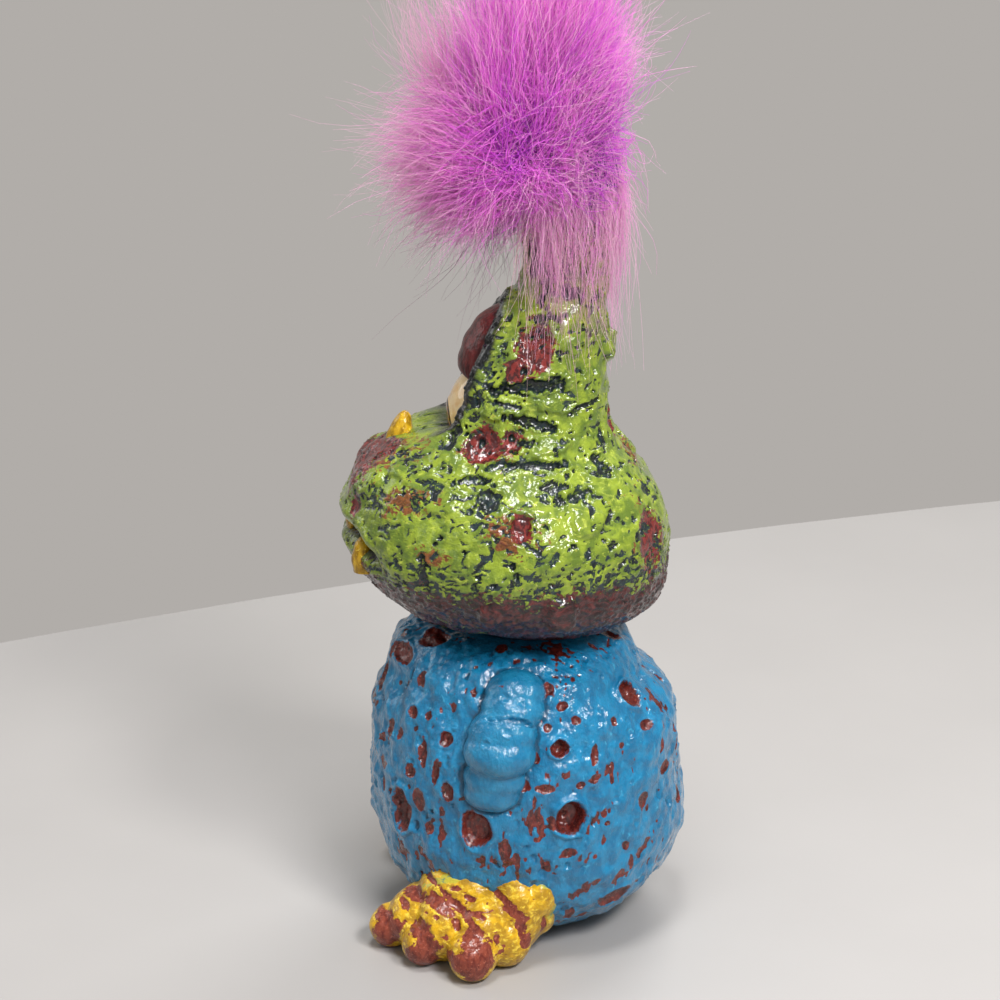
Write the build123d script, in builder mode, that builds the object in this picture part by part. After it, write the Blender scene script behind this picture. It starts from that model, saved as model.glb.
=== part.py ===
from build123d import *
import math
import os

# A troll figure cast in resin and painted: a ball body on two splayed feet, a wide head with a
# tall crown, one large eye, and a tuft of long fur on the tip of the crown.
# Millimetres. Z is up, -Y is the front, +X is the figure's left side. The origin is the middle of
# the flat that the body rests on. Angles are measured from the left side towards the back.

# Body ball, cast hollow. Profile: shares of the radius and of the height
body_radius = 33.1
body_height = 66.5
body_wall = 5.0
base_radius = 13.0
seat_radius = 14.0
body_profile_shares = (
    (0.580, 0.036),
    (0.735, 0.090),
    (0.855, 0.152),
    (0.937, 0.226),
    (0.988, 0.340),
    (1.000, 0.481),
    (0.997, 0.632),
    (0.973, 0.752),
    (0.918, 0.850),
    (0.816, 0.917),
    (0.665, 0.967),
)

# Craters in the skin of the body: angle, share of the body's height, and the crater's size as a
# share of the largest one
crater_radius = 4.2
crater_depth = 1.5
crater_shares = (
    (16, 0.520, 1.00),
    (-18, 0.485, 0.95),
    (62, 0.815, 0.80),
    (13, 0.735, 0.60),
    (-50, 0.480, 0.80),
    (118, 0.360, 0.95),
    (158, 0.660, 0.85),
    (205, 0.450, 0.90),
    (252, 0.300, 0.80),
    (-84, 0.620, 0.75),
)

# Plug in the casting hole under the body
plug_radius = 7.0
plug_length = 6.5
plug_flange_radius = 9.5
plug_flange_thickness = 2.0
plug_bevel = 0.6

# Wooden dowel between body and head, in a boss inside the body
dowel_radius = 4.0
dowel_depth = 11.0
dowel_bevel = 0.8
boss_radius = 8.5
boss_floor = 3.0

# Glue lines and clearances
glue_gap = 0.12
end_gap = 0.4
soft_gap = 0.35

# Head: a wide gourd. Shares of its height, then its middle towards the back and its half depth
# as shares of the half depth, and its half width as a share of the half width
head_height = 42.5
head_half_depth = 34.4
head_half_width = 34.0
head_section_shares = (
    (0.000, 0.058, 0.392, 0.400),
    (0.060, 0.050, 0.580, 0.590),
    (0.130, 0.015, 0.770, 0.770),
    (0.224, -0.035, 0.895, 0.890),
    (0.341, -0.080, 0.968, 0.965),
    (0.482, -0.108, 1.000, 1.000),
    (0.624, -0.125, 0.985, 0.970),
    (0.765, -0.134, 0.916, 0.880),
    (0.871, -0.142, 0.805, 0.750),
    (0.953, -0.150, 0.610, 0.560),
    (1.000, -0.116, 0.380, 0.340),
)

# Crown: the tall upper part of the head, leaning back, from its foot inside the head. Shares of
# its height, then its middle towards the back, half depth and half width as shares of its half
# width at the foot
crown_foot = 33.5
crown_height = 78.0
crown_half = 17.0
crown_section_shares = (
    (0.000, 0.000, 1.120, 1.080),
    (0.105, 0.005, 1.065, 1.020),
    (0.235, 0.040, 0.980, 0.960),
    (0.315, 0.125, 0.905, 0.890),
    (0.385, 0.240, 0.800, 0.790),
    (0.450, 0.355, 0.675, 0.680),
    (0.513, 0.450, 0.570, 0.590),
    (0.667, 0.518, 0.535, 0.535),
    (0.808, 0.510, 0.515, 0.500),
    (0.910, 0.430, 0.440, 0.430),
    (0.970, 0.340, 0.300, 0.290),
    (1.000, 0.310, 0.140, 0.140),
)

# Knobs and folds cast on the crown: to the left and back as shares of its half width at the
# foot, height as a share of its height, then half sizes as shares of the same
crown_lump_shares = (
    (0.000, 0.970, 0.397, 0.235, 0.235, 0.051),
    (0.760, 0.180, 0.244, 0.240, 0.530, 0.041),
    (-0.760, 0.180, 0.244, 0.240, 0.530, 0.041),
    (0.820, 0.120, 0.128, 0.240, 0.600, 0.038),
    (-0.820, 0.120, 0.128, 0.240, 0.600, 0.038),
    (0.660, 0.450, 0.385, 0.200, 0.420, 0.038),
    (-0.660, 0.450, 0.385, 0.200, 0.420, 0.038),
    (0.000, -0.150, 0.506, 0.350, 0.200, 0.033),
    (0.755, -0.720, 0.237, 0.155, 0.180, 0.115),
    (-0.755, -0.720, 0.237, 0.155, 0.180, 0.115),
)

# Bumps under the head, to the left and right: shares of its half width, half depth and height,
# and the radius as a share of the half width
chin_bump_shares = (0.790, 0.220, 0.118, 0.118)

# Lips: a round roll over and under the mouth
lip_radius = 2.2
lip_spread = 3.7
lip_inset = 1.4

# Mouth: a groove round the front of the head, and the middle of its sweep towards the back as a
# share of the head's half depth
mouth_height = 21.5
mouth_middle_share = -0.108
mouth_half_opening = 2.6
mouth_depth = 4.5
mouth_sweep = 92.0

# Teeth: angle to either side of straight ahead, radius and length. The upper ones hang from the
# lip, the lower ones stand on the jaw, each on a round root. The side of a tooth passes through
# shares of its radius and length
root_radius = 1.0
root_length = 2.6
tooth_inset = 1.5
tooth_sink = 0.7
tooth_seat_depth = 3.3
tooth_side_shares = ((0.86, 0.45), (0.50, 0.84))
upper_tooth_angle = 9.0
upper_tooth_radius = 1.7
upper_tooth_length = 3.8
lower_tooth_angle = 25.0
lower_tooth_radius = 2.5
lower_tooth_length = 5.0

# Eye in the front of the crown, and the lid that hoods it down to an arched edge
eye_radius = 11.5
eye_height = 46.5
eye_forward = 5.3
lid_half_width = 12.2
lid_half_height = 14.3
lid_rise = 8.0
lid_setback = 2.4
lid_arch_radius = 7.8
lid_foot_drop = 3.0

# Horn on top of the snout, leaning back: how far its seat is behind the head's foremost point and
# under the head's top
horn_radius = 2.9
horn_length = 7.0
horn_root_radius = 1.4
horn_root_length = 4.0
horn_setback = 7.4
horn_drop = 2.5
horn_lean = 22.0
horn_sink = 2.5

# Arms: short limbs laid on the sides of the body. Shares of the body's height, then half width as
# a share of the largest, and how far the middle is sunk under the skin as a share of half width
arm_angle = -11.0
arm_half_width = 7.6
arm_thickness_share = 0.86
arm_section_shares = (
    (0.958, 0.30, 0.45),
    (0.930, 0.68, 0.28),
    (0.865, 0.93, 0.22),
    (0.780, 1.00, 0.20),
    (0.695, 0.92, 0.18),
    (0.630, 0.77, 0.14),
    (0.580, 0.62, 0.14),
    (0.545, 0.28, 0.30),
)

# Feet: broad paws splayed sideways, with three round toes, and the right one turned a little
# further out. Shares of the reach from the body's
# axis, of the half width and of the height, and the middle's shift towards the back as a share
# of the half width
foot_angle = -27.0
right_foot_turn = 8.0
foot_reach = 41.0
foot_half_width = 19.0
foot_height = 19.0
foot_middle_share = 0.36
foot_section_shares = (
    (0.520, 0.97, 1.00, 0.06),
    (0.640, 1.00, 0.98, 0.05),
    (0.770, 0.94, 0.81, 0.00),
    (0.880, 0.81, 0.61, -0.08),
    (0.955, 0.60, 0.41, -0.13),
    (1.000, 0.30, 0.20, -0.15),
)
toe_radius = 5.0
toe_reach = 38.2
toe_spacing = 9.7
toe_offset = -3.0

# Steel pins that hold the arms and feet to the body
pin_radius = 1.2
pin_depth = 3.4
pin_reach = 3.6
arm_pin_height = 50.0
foot_pin_height = 8.0

# Fur: a strip of hide wrapped round the tip of the crown, and the locks that grow from it. Each
# lock has its length, its half width and half depth, the height of its lower end, and where it
# stands. Sections: shares of the length, of the largest half width, of the largest half depth,
# and the middle's shift towards the left and the back as shares of those
hide_thickness = 1.3
hide_length = 17.0
crest_foot = 157.0
crest_length = 68.0
crest_half_width = 19.0
crest_half_depth = 21.0
crest_place = (0.0, 2.0)
crest_section_shares = (
    (0.000, 0.53, 0.64, 0.00, 0.10),
    (0.118, 0.84, 0.88, 0.00, -0.05),
    (0.280, 1.00, 0.98, 0.00, -0.10),
    (0.456, 1.00, 1.00, 0.00, 0.00),
    (0.632, 0.87, 0.98, 0.00, 0.12),
    (0.794, 0.63, 0.74, 0.00, 0.21),
    (0.926, 0.34, 0.40, 0.00, 0.28),
    (1.000, 0.10, 0.12, 0.00, 0.31),
)
front_lock_foot = 146.0
front_lock_length = 38.0
front_lock_half_width = 13.0
front_lock_half_depth = 13.5
front_lock_place = (1.0, -22.0)
front_lock_section_shares = (
    (0.000, 0.19, 0.22, 0.08, 0.37),
    (0.140, 0.62, 0.70, 0.08, 0.15),
    (0.349, 0.92, 0.96, 0.04, -0.04),
    (0.558, 1.00, 1.00, 0.00, -0.07),
    (0.767, 0.85, 0.85, -0.04, 0.00),
    (0.930, 0.46, 0.48, -0.08, 0.07),
    (1.000, 0.15, 0.15, -0.08, 0.11),
)
back_lock_foot = 124.0
back_lock_length = 49.0
back_lock_half_width = 11.5
back_lock_half_depth = 8.8
back_lock_place = (6.5, 15.5)
back_lock_section_shares = (
    (0.000, 0.16, 0.30, 0.22, 0.11),
    (0.143, 0.43, 0.61, 0.26, 0.11),
    (0.347, 0.74, 0.86, 0.13, 0.00),
    (0.571, 0.91, 1.00, 0.00, -0.06),
    (0.776, 1.00, 0.98, -0.09, 0.00),
    (0.939, 0.70, 0.68, -0.17, 0.06),
    (1.000, 0.22, 0.25, -0.22, 0.11),
)

os.makedirs("parts", exist_ok=True)


def keep(name, shape):
    """Label one finished piece and write it."""
    shape.label = name
    export_step(shape, f"parts/{name}.step")


def bulk(sections):
    """A smooth solid through level ovals: height, middle to the left and back, half sizes."""
    outlines = []
    for height, left, back, half_width, half_depth in sections:
        with BuildSketch(Plane.XY.offset(height)) as outline:
            with Locations((left, back)):
                Ellipse(half_width, half_depth)
        outlines.append(outline.sketch)
    with BuildPart() as smooth:
        loft(outlines)
    return smooth.part


def skin_points():
    """The body's profile from the edge of its base to the edge of its seat."""
    rounded = [(body_radius * out, body_height * up) for out, up in body_profile_shares]
    return [(base_radius, 0.0), *rounded, (seat_radius, body_height)]


def skin_radius(height):
    """The body's radius at a height, between the points of its profile."""
    points = skin_points()
    for (inner, low), (outer, high) in zip(points, points[1:]):
        if height <= high:
            return inner + (outer - inner) * (height - low) / (high - low)
    return seat_radius


def turned(points):
    """A solid turned about the upright axis from a profile of radius and height."""
    with BuildPart() as ball:
        with BuildSketch(Plane.XZ):
            with BuildLine():
                skin = Spline(*points)
                Polyline(skin @ 1, (0.0, points[-1][1]), (0.0, points[0][1]), skin @ 0)
            make_face()
        revolve(axis=Axis.Z)
    return ball.part


def body_bulk(grow=0.0):
    """The body's outer form, with its radius grown by a gap."""
    return turned([(out + grow, up) for out, up in skin_points()])


def cavity_bulk():
    """The hollow inside the body."""
    inner_radius = body_radius - body_wall
    inner_height = body_height - 2 * body_wall
    points = [(inner_radius * out, body_wall + inner_height * up) for out, up in body_profile_shares]
    low = (base_radius - body_wall, body_wall)
    high = (seat_radius - body_wall, body_height - body_wall)
    return turned([low, *points, high])


def head_bulk(grow=0.0):
    """The wide part of the head, grown by a gap."""
    return bulk(
        (
            body_height + head_height * up,
            0.0,
            head_half_depth * back,
            head_half_width * width + grow,
            head_half_depth * depth + grow,
        )
        for up, back, depth, width in head_section_shares
    )


def crown_bulk(grow=0.0):
    """The crown, grown by a gap."""
    return bulk(
        (
            body_height + crown_foot + (crown_height + grow) * up,
            0.0,
            crown_half * back,
            crown_half * width + grow,
            crown_half * depth + grow,
        )
        for up, back, depth, width in crown_section_shares
    )


def lump_bulk(half_width, half_depth, half_height):
    """A smooth lump about its middle."""
    with BuildPart() as lump:
        Sphere(half_width)
        scale(by=(1, half_depth / half_width, half_height / half_width))
    return lump.part


def crown_lumps(grow=0.0):
    """The knobs and folds of the crown in their places, grown by a gap."""
    lumps = []
    for left, back, up, half_width, half_depth, half_height in crown_lump_shares:
        lump = lump_bulk(
            crown_half * half_width + grow,
            crown_half * half_depth + grow,
            crown_height * half_height + grow,
        )
        middle = (crown_half * left, crown_half * back, body_height + crown_foot + crown_height * up)
        lumps.append(lump.moved(Location(middle)))
    return lumps


def lip_bulk(rise):
    """A roll round the front of the head, at a height from the middle of the mouth."""
    middle = head_half_depth * mouth_middle_share
    start = math.radians(-90 - mouth_sweep / 2)
    section = Plane(
        origin=(0.0, middle, body_height + mouth_height + rise),
        x_dir=(math.cos(start), math.sin(start), 0.0),
        z_dir=(math.sin(start), -math.cos(start), 0.0),
    )
    with BuildPart() as roll:
        with BuildSketch(section):
            with Locations((head_half_depth - lip_inset, 0.0)):
                Circle(lip_radius)
        revolve(axis=Axis((0.0, middle, 0.0), (0.0, 0.0, 1.0)), revolution_arc=mouth_sweep)
    return roll.part


def lock_bulk(foot, length, half_width, half_depth, place, shares, grow=0.0):
    """One lock of fur as a plain closed form, grown by a gap on every side."""
    left, back = place
    return bulk(
        (
            foot - grow + (length + 2 * grow) * up,
            left + half_width * left_share,
            back + half_depth * back_share,
            half_width * width + grow,
            half_depth * depth + grow,
        )
        for up, width, depth, left_share, back_share in shares
    )


def pin_bulk(angle, height, radius, slack=0.0):
    """A level pin through the body's skin, pointing straight out."""
    outward = Vector(math.cos(math.radians(angle)), math.sin(math.radians(angle)), 0.0)
    start = outward * (skin_radius(height) - pin_depth - slack)
    with BuildPart() as pin:
        with BuildSketch(Plane(origin=(start.X, start.Y, height), z_dir=outward)):
            Circle(radius)
        extrude(amount=pin_depth + pin_reach + 2 * slack)
    return pin.part


def socket_bulk(radius, neck_radius, neck_length, depth):
    """The stepped hole for a tooth or horn: a round seat and the hole for its root."""
    with BuildPart() as socket:
        with BuildSketch():
            Circle(radius + glue_gap)
        extrude(amount=depth)
        with BuildSketch():
            Circle(neck_radius + glue_gap)
        extrude(amount=-neck_length - end_gap)
    return socket.part


def tooth_bulk(radius, length, neck_radius, neck_length):
    """A blunt cone standing on its root."""
    with BuildPart() as cone:
        with BuildSketch(Plane.XZ):
            with BuildLine():
                side = [(radius * out, length * up) for out, up in tooth_side_shares]
                cone_side = Spline((radius, 0.0), *side, (0.0, length))
                root_end = ((0.0, -neck_length), (neck_radius, -neck_length))
                Polyline(cone_side @ 1, *root_end, (neck_radius, 0.0), cone_side @ 0)
            make_face()
        revolve(axis=Axis.Z)
    return cone.part


def tooth_place(angle, upper):
    """Where a tooth stands: on the wall of the mouth's groove, upside down for an upper one."""
    middle = head_half_depth * mouth_middle_share
    reach = head_half_depth - tooth_inset
    wall = mouth_half_opening * math.sqrt(1 - (tooth_inset / mouth_depth) ** 2) + tooth_sink
    rise = wall if upper else -wall
    turn = math.radians(angle)
    spot = (reach * math.sin(turn), middle - reach * math.cos(turn), body_height + mouth_height + rise)
    return Location(spot, (180.0 if upper else 0.0, 0.0, angle))


eye_middle = (0.0, -eye_forward, body_height + eye_height)
horn_seat = (0.0, horn_setback - head_half_depth, body_height + head_height - horn_drop)
horn_place = Location(horn_seat, (-horn_lean, 0.0, 0.0))
pin_spots = {
    "arm_pin_left": (arm_angle, arm_pin_height),
    "arm_pin_right": (180 - arm_angle, arm_pin_height),
    "foot_pin_left": (foot_angle, foot_pin_height),
    "foot_pin_right": (180 - foot_angle - right_foot_turn, foot_pin_height),
}
teeth = {
    "upper_tooth_left": (upper_tooth_angle, upper_tooth_radius, upper_tooth_length, True),
    "upper_tooth_right": (-upper_tooth_angle, upper_tooth_radius, upper_tooth_length, True),
    "lower_tooth_left": (lower_tooth_angle, lower_tooth_radius, lower_tooth_length, False),
    "lower_tooth_right": (-lower_tooth_angle, lower_tooth_radius, lower_tooth_length, False),
}

# Body casting: the ball, its hollow, the boss for the dowel, the casting hole and the craters
with BuildPart() as body_shell:
    add(body_bulk())
    add(cavity_bulk(), mode=Mode.SUBTRACT)
    with BuildSketch(Plane.XY.offset(body_height - body_wall / 2)):
        Circle(boss_radius)
    extrude(amount=-(dowel_depth + boss_floor - body_wall / 2))
    with BuildSketch(Plane.XY.offset(body_height)):
        Circle(dowel_radius + glue_gap)
    extrude(amount=-dowel_depth - end_gap, mode=Mode.SUBTRACT)
    with BuildSketch():
        Circle(plug_radius + glue_gap)
    extrude(amount=plug_length + end_gap, mode=Mode.SUBTRACT)
    with BuildSketch():
        Circle(plug_flange_radius + glue_gap)
    extrude(amount=plug_flange_thickness + glue_gap, mode=Mode.SUBTRACT)
    for angle, up, size in crater_shares:
        radius = crater_radius * size
        turn = math.radians(angle)
        reach = skin_radius(body_height * up) + radius - crater_depth
        with Locations((reach * math.cos(turn), reach * math.sin(turn), body_height * up)):
            Sphere(radius, mode=Mode.SUBTRACT)
    for angle, height in pin_spots.values():
        add(pin_bulk(angle, height, pin_radius + glue_gap, end_gap), mode=Mode.SUBTRACT)
keep("body_shell", body_shell.part)

# Base plug: a stepped disc, flush with the ball's flat
with BuildPart() as base_plug:
    with BuildSketch():
        Circle(plug_flange_radius)
    extrude(amount=plug_flange_thickness)
    with BuildSketch():
        Circle(plug_radius)
    extrude(amount=plug_length)
    chamfer(base_plug.edges().group_by(Axis.Z)[-1], length=plug_bevel)
keep("base_plug", base_plug.part)

# Neck dowel, half in the body and half in the head
with BuildPart() as neck_dowel:
    with BuildSketch(Plane.XY.offset(body_height - dowel_depth)):
        Circle(dowel_radius)
    extrude(amount=2 * dowel_depth)
    chamfer(neck_dowel.edges().filter_by(GeomType.CIRCLE), length=dowel_bevel)
keep("neck_dowel", neck_dowel.part)

# Head casting: the gourd and crown in one, with the mouth, the eye's socket and the sockets for
# the dowel, the horn and the teeth
with BuildPart() as head_casting:
    add(head_bulk())
    add(crown_bulk())
    add(crown_lumps())
    out, back, up, size = chin_bump_shares
    for side in (-1, 1):
        bump = (side * head_half_width * out, head_half_depth * back, body_height + head_height * up)
        with Locations(bump):
            Sphere(head_half_width * size)
    add(lip_bulk(lip_spread))
    add(lip_bulk(-lip_spread))
    with BuildSketch(Plane.XY.offset(body_height)):
        Circle(dowel_radius + glue_gap)
    extrude(amount=dowel_depth + end_gap, mode=Mode.SUBTRACT)
    mouth_middle = head_half_depth * mouth_middle_share
    mouth_start = math.radians(-90 - mouth_sweep / 2)
    groove = Plane(
        origin=(0.0, mouth_middle, body_height + mouth_height),
        x_dir=(math.cos(mouth_start), math.sin(mouth_start), 0.0),
        z_dir=(math.sin(mouth_start), -math.cos(mouth_start), 0.0),
    )
    with BuildSketch(groove):
        with Locations((head_half_depth, 0.0)):
            Ellipse(mouth_depth, mouth_half_opening)
    revolve(
        axis=Axis((0.0, mouth_middle, 0.0), (0.0, 0.0, 1.0)),
        revolution_arc=mouth_sweep,
        mode=Mode.SUBTRACT,
    )
    with Locations(eye_middle):
        Sphere(eye_radius + glue_gap, mode=Mode.SUBTRACT)
    with Locations(horn_place):
        add(socket_bulk(horn_radius, horn_root_radius, horn_root_length, horn_sink), mode=Mode.SUBTRACT)
    for angle, radius, length, upper in teeth.values():
        with Locations(tooth_place(angle, upper)):
            add(socket_bulk(radius, root_radius, root_length, tooth_seat_depth), mode=Mode.SUBTRACT)
keep("head_casting", head_casting.part)

# Teeth and horn, each on its root
for name, (angle, radius, length, upper) in teeth.items():
    with BuildPart() as tooth:
        with Locations(tooth_place(angle, upper)):
            add(tooth_bulk(radius, length, root_radius, root_length))
    keep(name, tooth.part)

with BuildPart() as snout_horn:
    with Locations(horn_place):
        add(tooth_bulk(horn_radius, horn_length, horn_root_radius, horn_root_length))
keep("snout_horn", snout_horn.part)

# Eyeball, and the lid over the upper part of it, fitted to the crown
with BuildPart() as eyeball:
    with Locations(eye_middle):
        Sphere(eye_radius)
keep("eyeball", eyeball.part)

with BuildPart() as hood:
    Sphere(lid_half_height)
    scale(by=(lid_half_width / lid_half_height, lid_half_width / lid_half_height, 1))
with BuildPart() as upper_eyelid:
    with Locations((0.0, lid_setback - eye_forward, body_height + eye_height + lid_rise)):
        add(hood.part)
    with Locations(eye_middle):
        Sphere(eye_radius + glue_gap, mode=Mode.SUBTRACT)
    split(bisect_by=Plane.XY.offset(body_height + eye_height - lid_foot_drop), keep=Keep.TOP)
    with BuildSketch(Plane(origin=eye_middle, z_dir=(0.0, -1.0, 0.0))):
        Circle(lid_arch_radius)
    extrude(amount=2 * eye_radius, mode=Mode.SUBTRACT)
    add(crown_bulk(glue_gap), mode=Mode.SUBTRACT)
    add(crown_lumps(glue_gap), mode=Mode.SUBTRACT)
    add(head_bulk(glue_gap), mode=Mode.SUBTRACT)
keep("upper_eyelid", upper_eyelid.part)

# Arms: ovals set square to the line that each limb follows down the body's side
turn = math.radians(arm_angle)
outward = Vector(math.cos(turn), math.sin(turn), 0.0)
across = Vector(-math.sin(turn), math.cos(turn), 0.0)
arm_line = []
for up, width, sink in arm_section_shares:
    height = body_height * up
    reach = skin_radius(height) - arm_half_width * width * sink
    arm_line.append(outward * reach + Vector(0.0, 0.0, height))
arm_outlines = []
for number, (up, width, sink) in enumerate(arm_section_shares):
    before = arm_line[max(number - 1, 0)]
    after = arm_line[min(number + 1, len(arm_line) - 1)]
    with BuildSketch(Plane(origin=arm_line[number], x_dir=across, z_dir=after - before)) as outline:
        Ellipse(arm_half_width * width, arm_half_width * width * arm_thickness_share)
    arm_outlines.append(outline.sketch)

with BuildPart() as arm_left:
    loft(arm_outlines)
    add(body_bulk(glue_gap), mode=Mode.SUBTRACT)
    add(pin_bulk(arm_angle, arm_pin_height, pin_radius + glue_gap, end_gap), mode=Mode.SUBTRACT)
keep("arm_left", arm_left.part)

with BuildPart() as arm_right:
    mirror(arm_left.part, about=Plane.YZ)
keep("arm_right", arm_right.part)

# Feet: a paw of upright ovals cut level at the floor, and the toes
turn = math.radians(foot_angle)
outward = Vector(math.cos(turn), math.sin(turn), 0.0)
across = Vector(-math.sin(turn), math.cos(turn), 0.0)
with BuildPart() as foot_left:
    for reach, width, height, shift in foot_section_shares:
        middle = outward * (foot_reach * reach) + across * (foot_half_width * shift)
        middle += Vector(0.0, 0.0, foot_height * height * foot_middle_share)
        with BuildSketch(Plane(origin=middle, x_dir=across, z_dir=outward)):
            Ellipse(foot_half_width * width, foot_height * height * (1 - foot_middle_share))
    loft()
    for number in (-1, 0, 1):
        middle = outward * toe_reach + across * (toe_offset + toe_spacing * number)
        with Locations((middle.X, middle.Y, toe_radius)):
            Sphere(toe_radius)
    split(bisect_by=Plane.XY, keep=Keep.TOP)
    add(body_bulk(glue_gap), mode=Mode.SUBTRACT)
    add(pin_bulk(foot_angle, foot_pin_height, pin_radius + glue_gap, end_gap), mode=Mode.SUBTRACT)
keep("foot_left", foot_left.part)

with BuildPart() as foot_right:
    mirror(foot_left.part, about=Plane.YZ)
keep("foot_right", foot_right.part.rotate(Axis.Z, -right_foot_turn))

# Pins between the limbs and the body
for name, (angle, height) in pin_spots.items():
    keep(name, pin_bulk(angle, height, pin_radius))

# Hide strip: a sleeve that follows the tip of the crown
with BuildPart() as fur_hide:
    add(crown_bulk(glue_gap + hide_thickness))
    split(
        bisect_by=Plane.XY.offset(body_height + crown_foot + crown_height - hide_length),
        keep=Keep.TOP,
    )
    add(crown_bulk(glue_gap), mode=Mode.SUBTRACT)
keep("fur_hide", fur_hide.part)

# Fur locks: the crest stands on the hide, the others hang in front and behind, clear of it
crest = (crest_foot, crest_length, crest_half_width, crest_half_depth, crest_place, crest_section_shares)
front_lock = (
    front_lock_foot,
    front_lock_length,
    front_lock_half_width,
    front_lock_half_depth,
    front_lock_place,
    front_lock_section_shares,
)
back_lock = (
    back_lock_foot,
    back_lock_length,
    back_lock_half_width,
    back_lock_half_depth,
    back_lock_place,
    back_lock_section_shares,
)
with BuildPart() as fur_crest:
    add(lock_bulk(*crest))
    add(crown_bulk(glue_gap + hide_thickness + soft_gap), mode=Mode.SUBTRACT)
keep("fur_crest", fur_crest.part)

for name, lock in (("fur_front_lock", front_lock), ("fur_back_lock", back_lock)):
    with BuildPart() as hanging:
        add(lock_bulk(*lock))
        add(lock_bulk(*crest, grow=soft_gap), mode=Mode.SUBTRACT)
        add(crown_bulk(glue_gap + hide_thickness + soft_gap), mode=Mode.SUBTRACT)
        add(crown_lumps(soft_gap), mode=Mode.SUBTRACT)
    keep(name, hanging.part)
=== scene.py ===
"""A painted cast troll: a round blue body, a wide green head with a tall crown, long dyed fur."""

import math

import bpy
import numpy as np
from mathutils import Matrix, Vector


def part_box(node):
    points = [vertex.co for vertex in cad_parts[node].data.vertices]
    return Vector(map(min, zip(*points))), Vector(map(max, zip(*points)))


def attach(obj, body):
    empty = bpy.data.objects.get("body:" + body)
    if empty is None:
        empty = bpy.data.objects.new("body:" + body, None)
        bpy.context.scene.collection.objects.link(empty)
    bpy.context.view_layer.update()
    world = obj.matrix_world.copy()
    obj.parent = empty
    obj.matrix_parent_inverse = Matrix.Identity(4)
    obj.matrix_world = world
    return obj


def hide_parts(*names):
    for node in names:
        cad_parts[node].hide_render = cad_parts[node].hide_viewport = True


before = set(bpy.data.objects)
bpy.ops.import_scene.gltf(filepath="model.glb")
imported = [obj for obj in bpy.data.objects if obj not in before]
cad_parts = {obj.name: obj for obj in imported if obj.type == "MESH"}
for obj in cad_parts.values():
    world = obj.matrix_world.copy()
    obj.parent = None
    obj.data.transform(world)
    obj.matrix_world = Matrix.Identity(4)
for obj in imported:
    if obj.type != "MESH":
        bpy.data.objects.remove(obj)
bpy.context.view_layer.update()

MM = 0.001

# The view: seen from the figure's left side, a little from above
VIEW_TARGET = np.array((0.0, -5.4, 93.2))
VIEW_DISTANCE = 560.0
VIEW_ELEVATION = math.radians(18.0)
VIEW_FOCAL = 2643.2
SENSOR_WIDTH = 36.0
VIEW_BACK = np.array((math.cos(VIEW_ELEVATION), 0.0, math.sin(VIEW_ELEVATION)))
VIEW_RIGHT = np.array((0.0, 1.0, 0.0))
VIEW_UP = np.array((-math.sin(VIEW_ELEVATION), 0.0, math.cos(VIEW_ELEVATION)))
VIEW_PLACE = VIEW_TARGET + VIEW_DISTANCE * VIEW_BACK
PICTURE_SCALE = VIEW_FOCAL / VIEW_DISTANCE


def in_picture(points):
    """Where points fall in the picture, in thousandths of its width from its upper left corner."""
    away = points - VIEW_PLACE
    depth = -(away @ VIEW_BACK)
    return 500 + VIEW_FOCAL * (away @ VIEW_RIGHT) / depth, 500 - VIEW_FOCAL * (away @ VIEW_UP) / depth


# Smooth random fields


def lattice(cells, seed):
    """A repeatable number from -1 to 1 for each whole-numbered place."""
    x, y, z = cells
    mixed = (x * 73856093) ^ (y * 19349663) ^ (z * 83492791) ^ (seed * 26544357)
    mixed &= 0xFFFFFFFF
    mixed = ((mixed ^ (mixed >> 13)) * 1274126177) & 0xFFFFFFFF
    return (mixed ^ (mixed >> 16)) / 0x7FFFFFFF - 1.0


def noise(points, size, seed=0):
    """Smooth noise from -1 to 1 with features of about one size, or one size for each axis."""
    scaled = points / np.array(size)
    cell = np.floor(scaled).astype(np.int64)
    part = scaled - cell
    ease = part**3 * (part * (6 * part - 15) + 10)
    total = np.zeros(len(points))
    for corner in range(8):
        step = np.array([(corner >> axis) & 1 for axis in range(3)])
        share = np.prod(np.where(step, ease, 1 - ease), axis=1)
        total += share * lattice((cell + step).T, seed)
    return total


def lumps(points, layers, seed=0):
    """The sum of noise layers, each given as a feature size and a height."""
    return sum(height * noise(points, size, seed + number) for number, (size, height) in enumerate(layers))


def ramp(value, low, high):
    """0 below low, 1 above high, smooth between."""
    share = np.clip((value - low) / (high - low), 0.0, 1.0)
    return share * share * (3 - 2 * share)


def hump(value, middle, width):
    """1 at the middle, falling off to both sides."""
    return np.exp(-(((value - middle) / width) ** 2))


# Meshes from numbers

MIRROR = np.array((-1.0, 1.0, 1.0))


def unit(vectors):
    """The vectors, each of length 1."""
    return vectors / (np.linalg.norm(vectors, axis=-1, keepdims=True) + 1e-9)


def turned(x, y, angle):
    """Places turned round the upright axis by an angle in degrees."""
    cosine, sine = math.cos(math.radians(angle)), math.sin(math.radians(angle))
    return x * cosine - y * sine, x * sine + y * cosine


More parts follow.
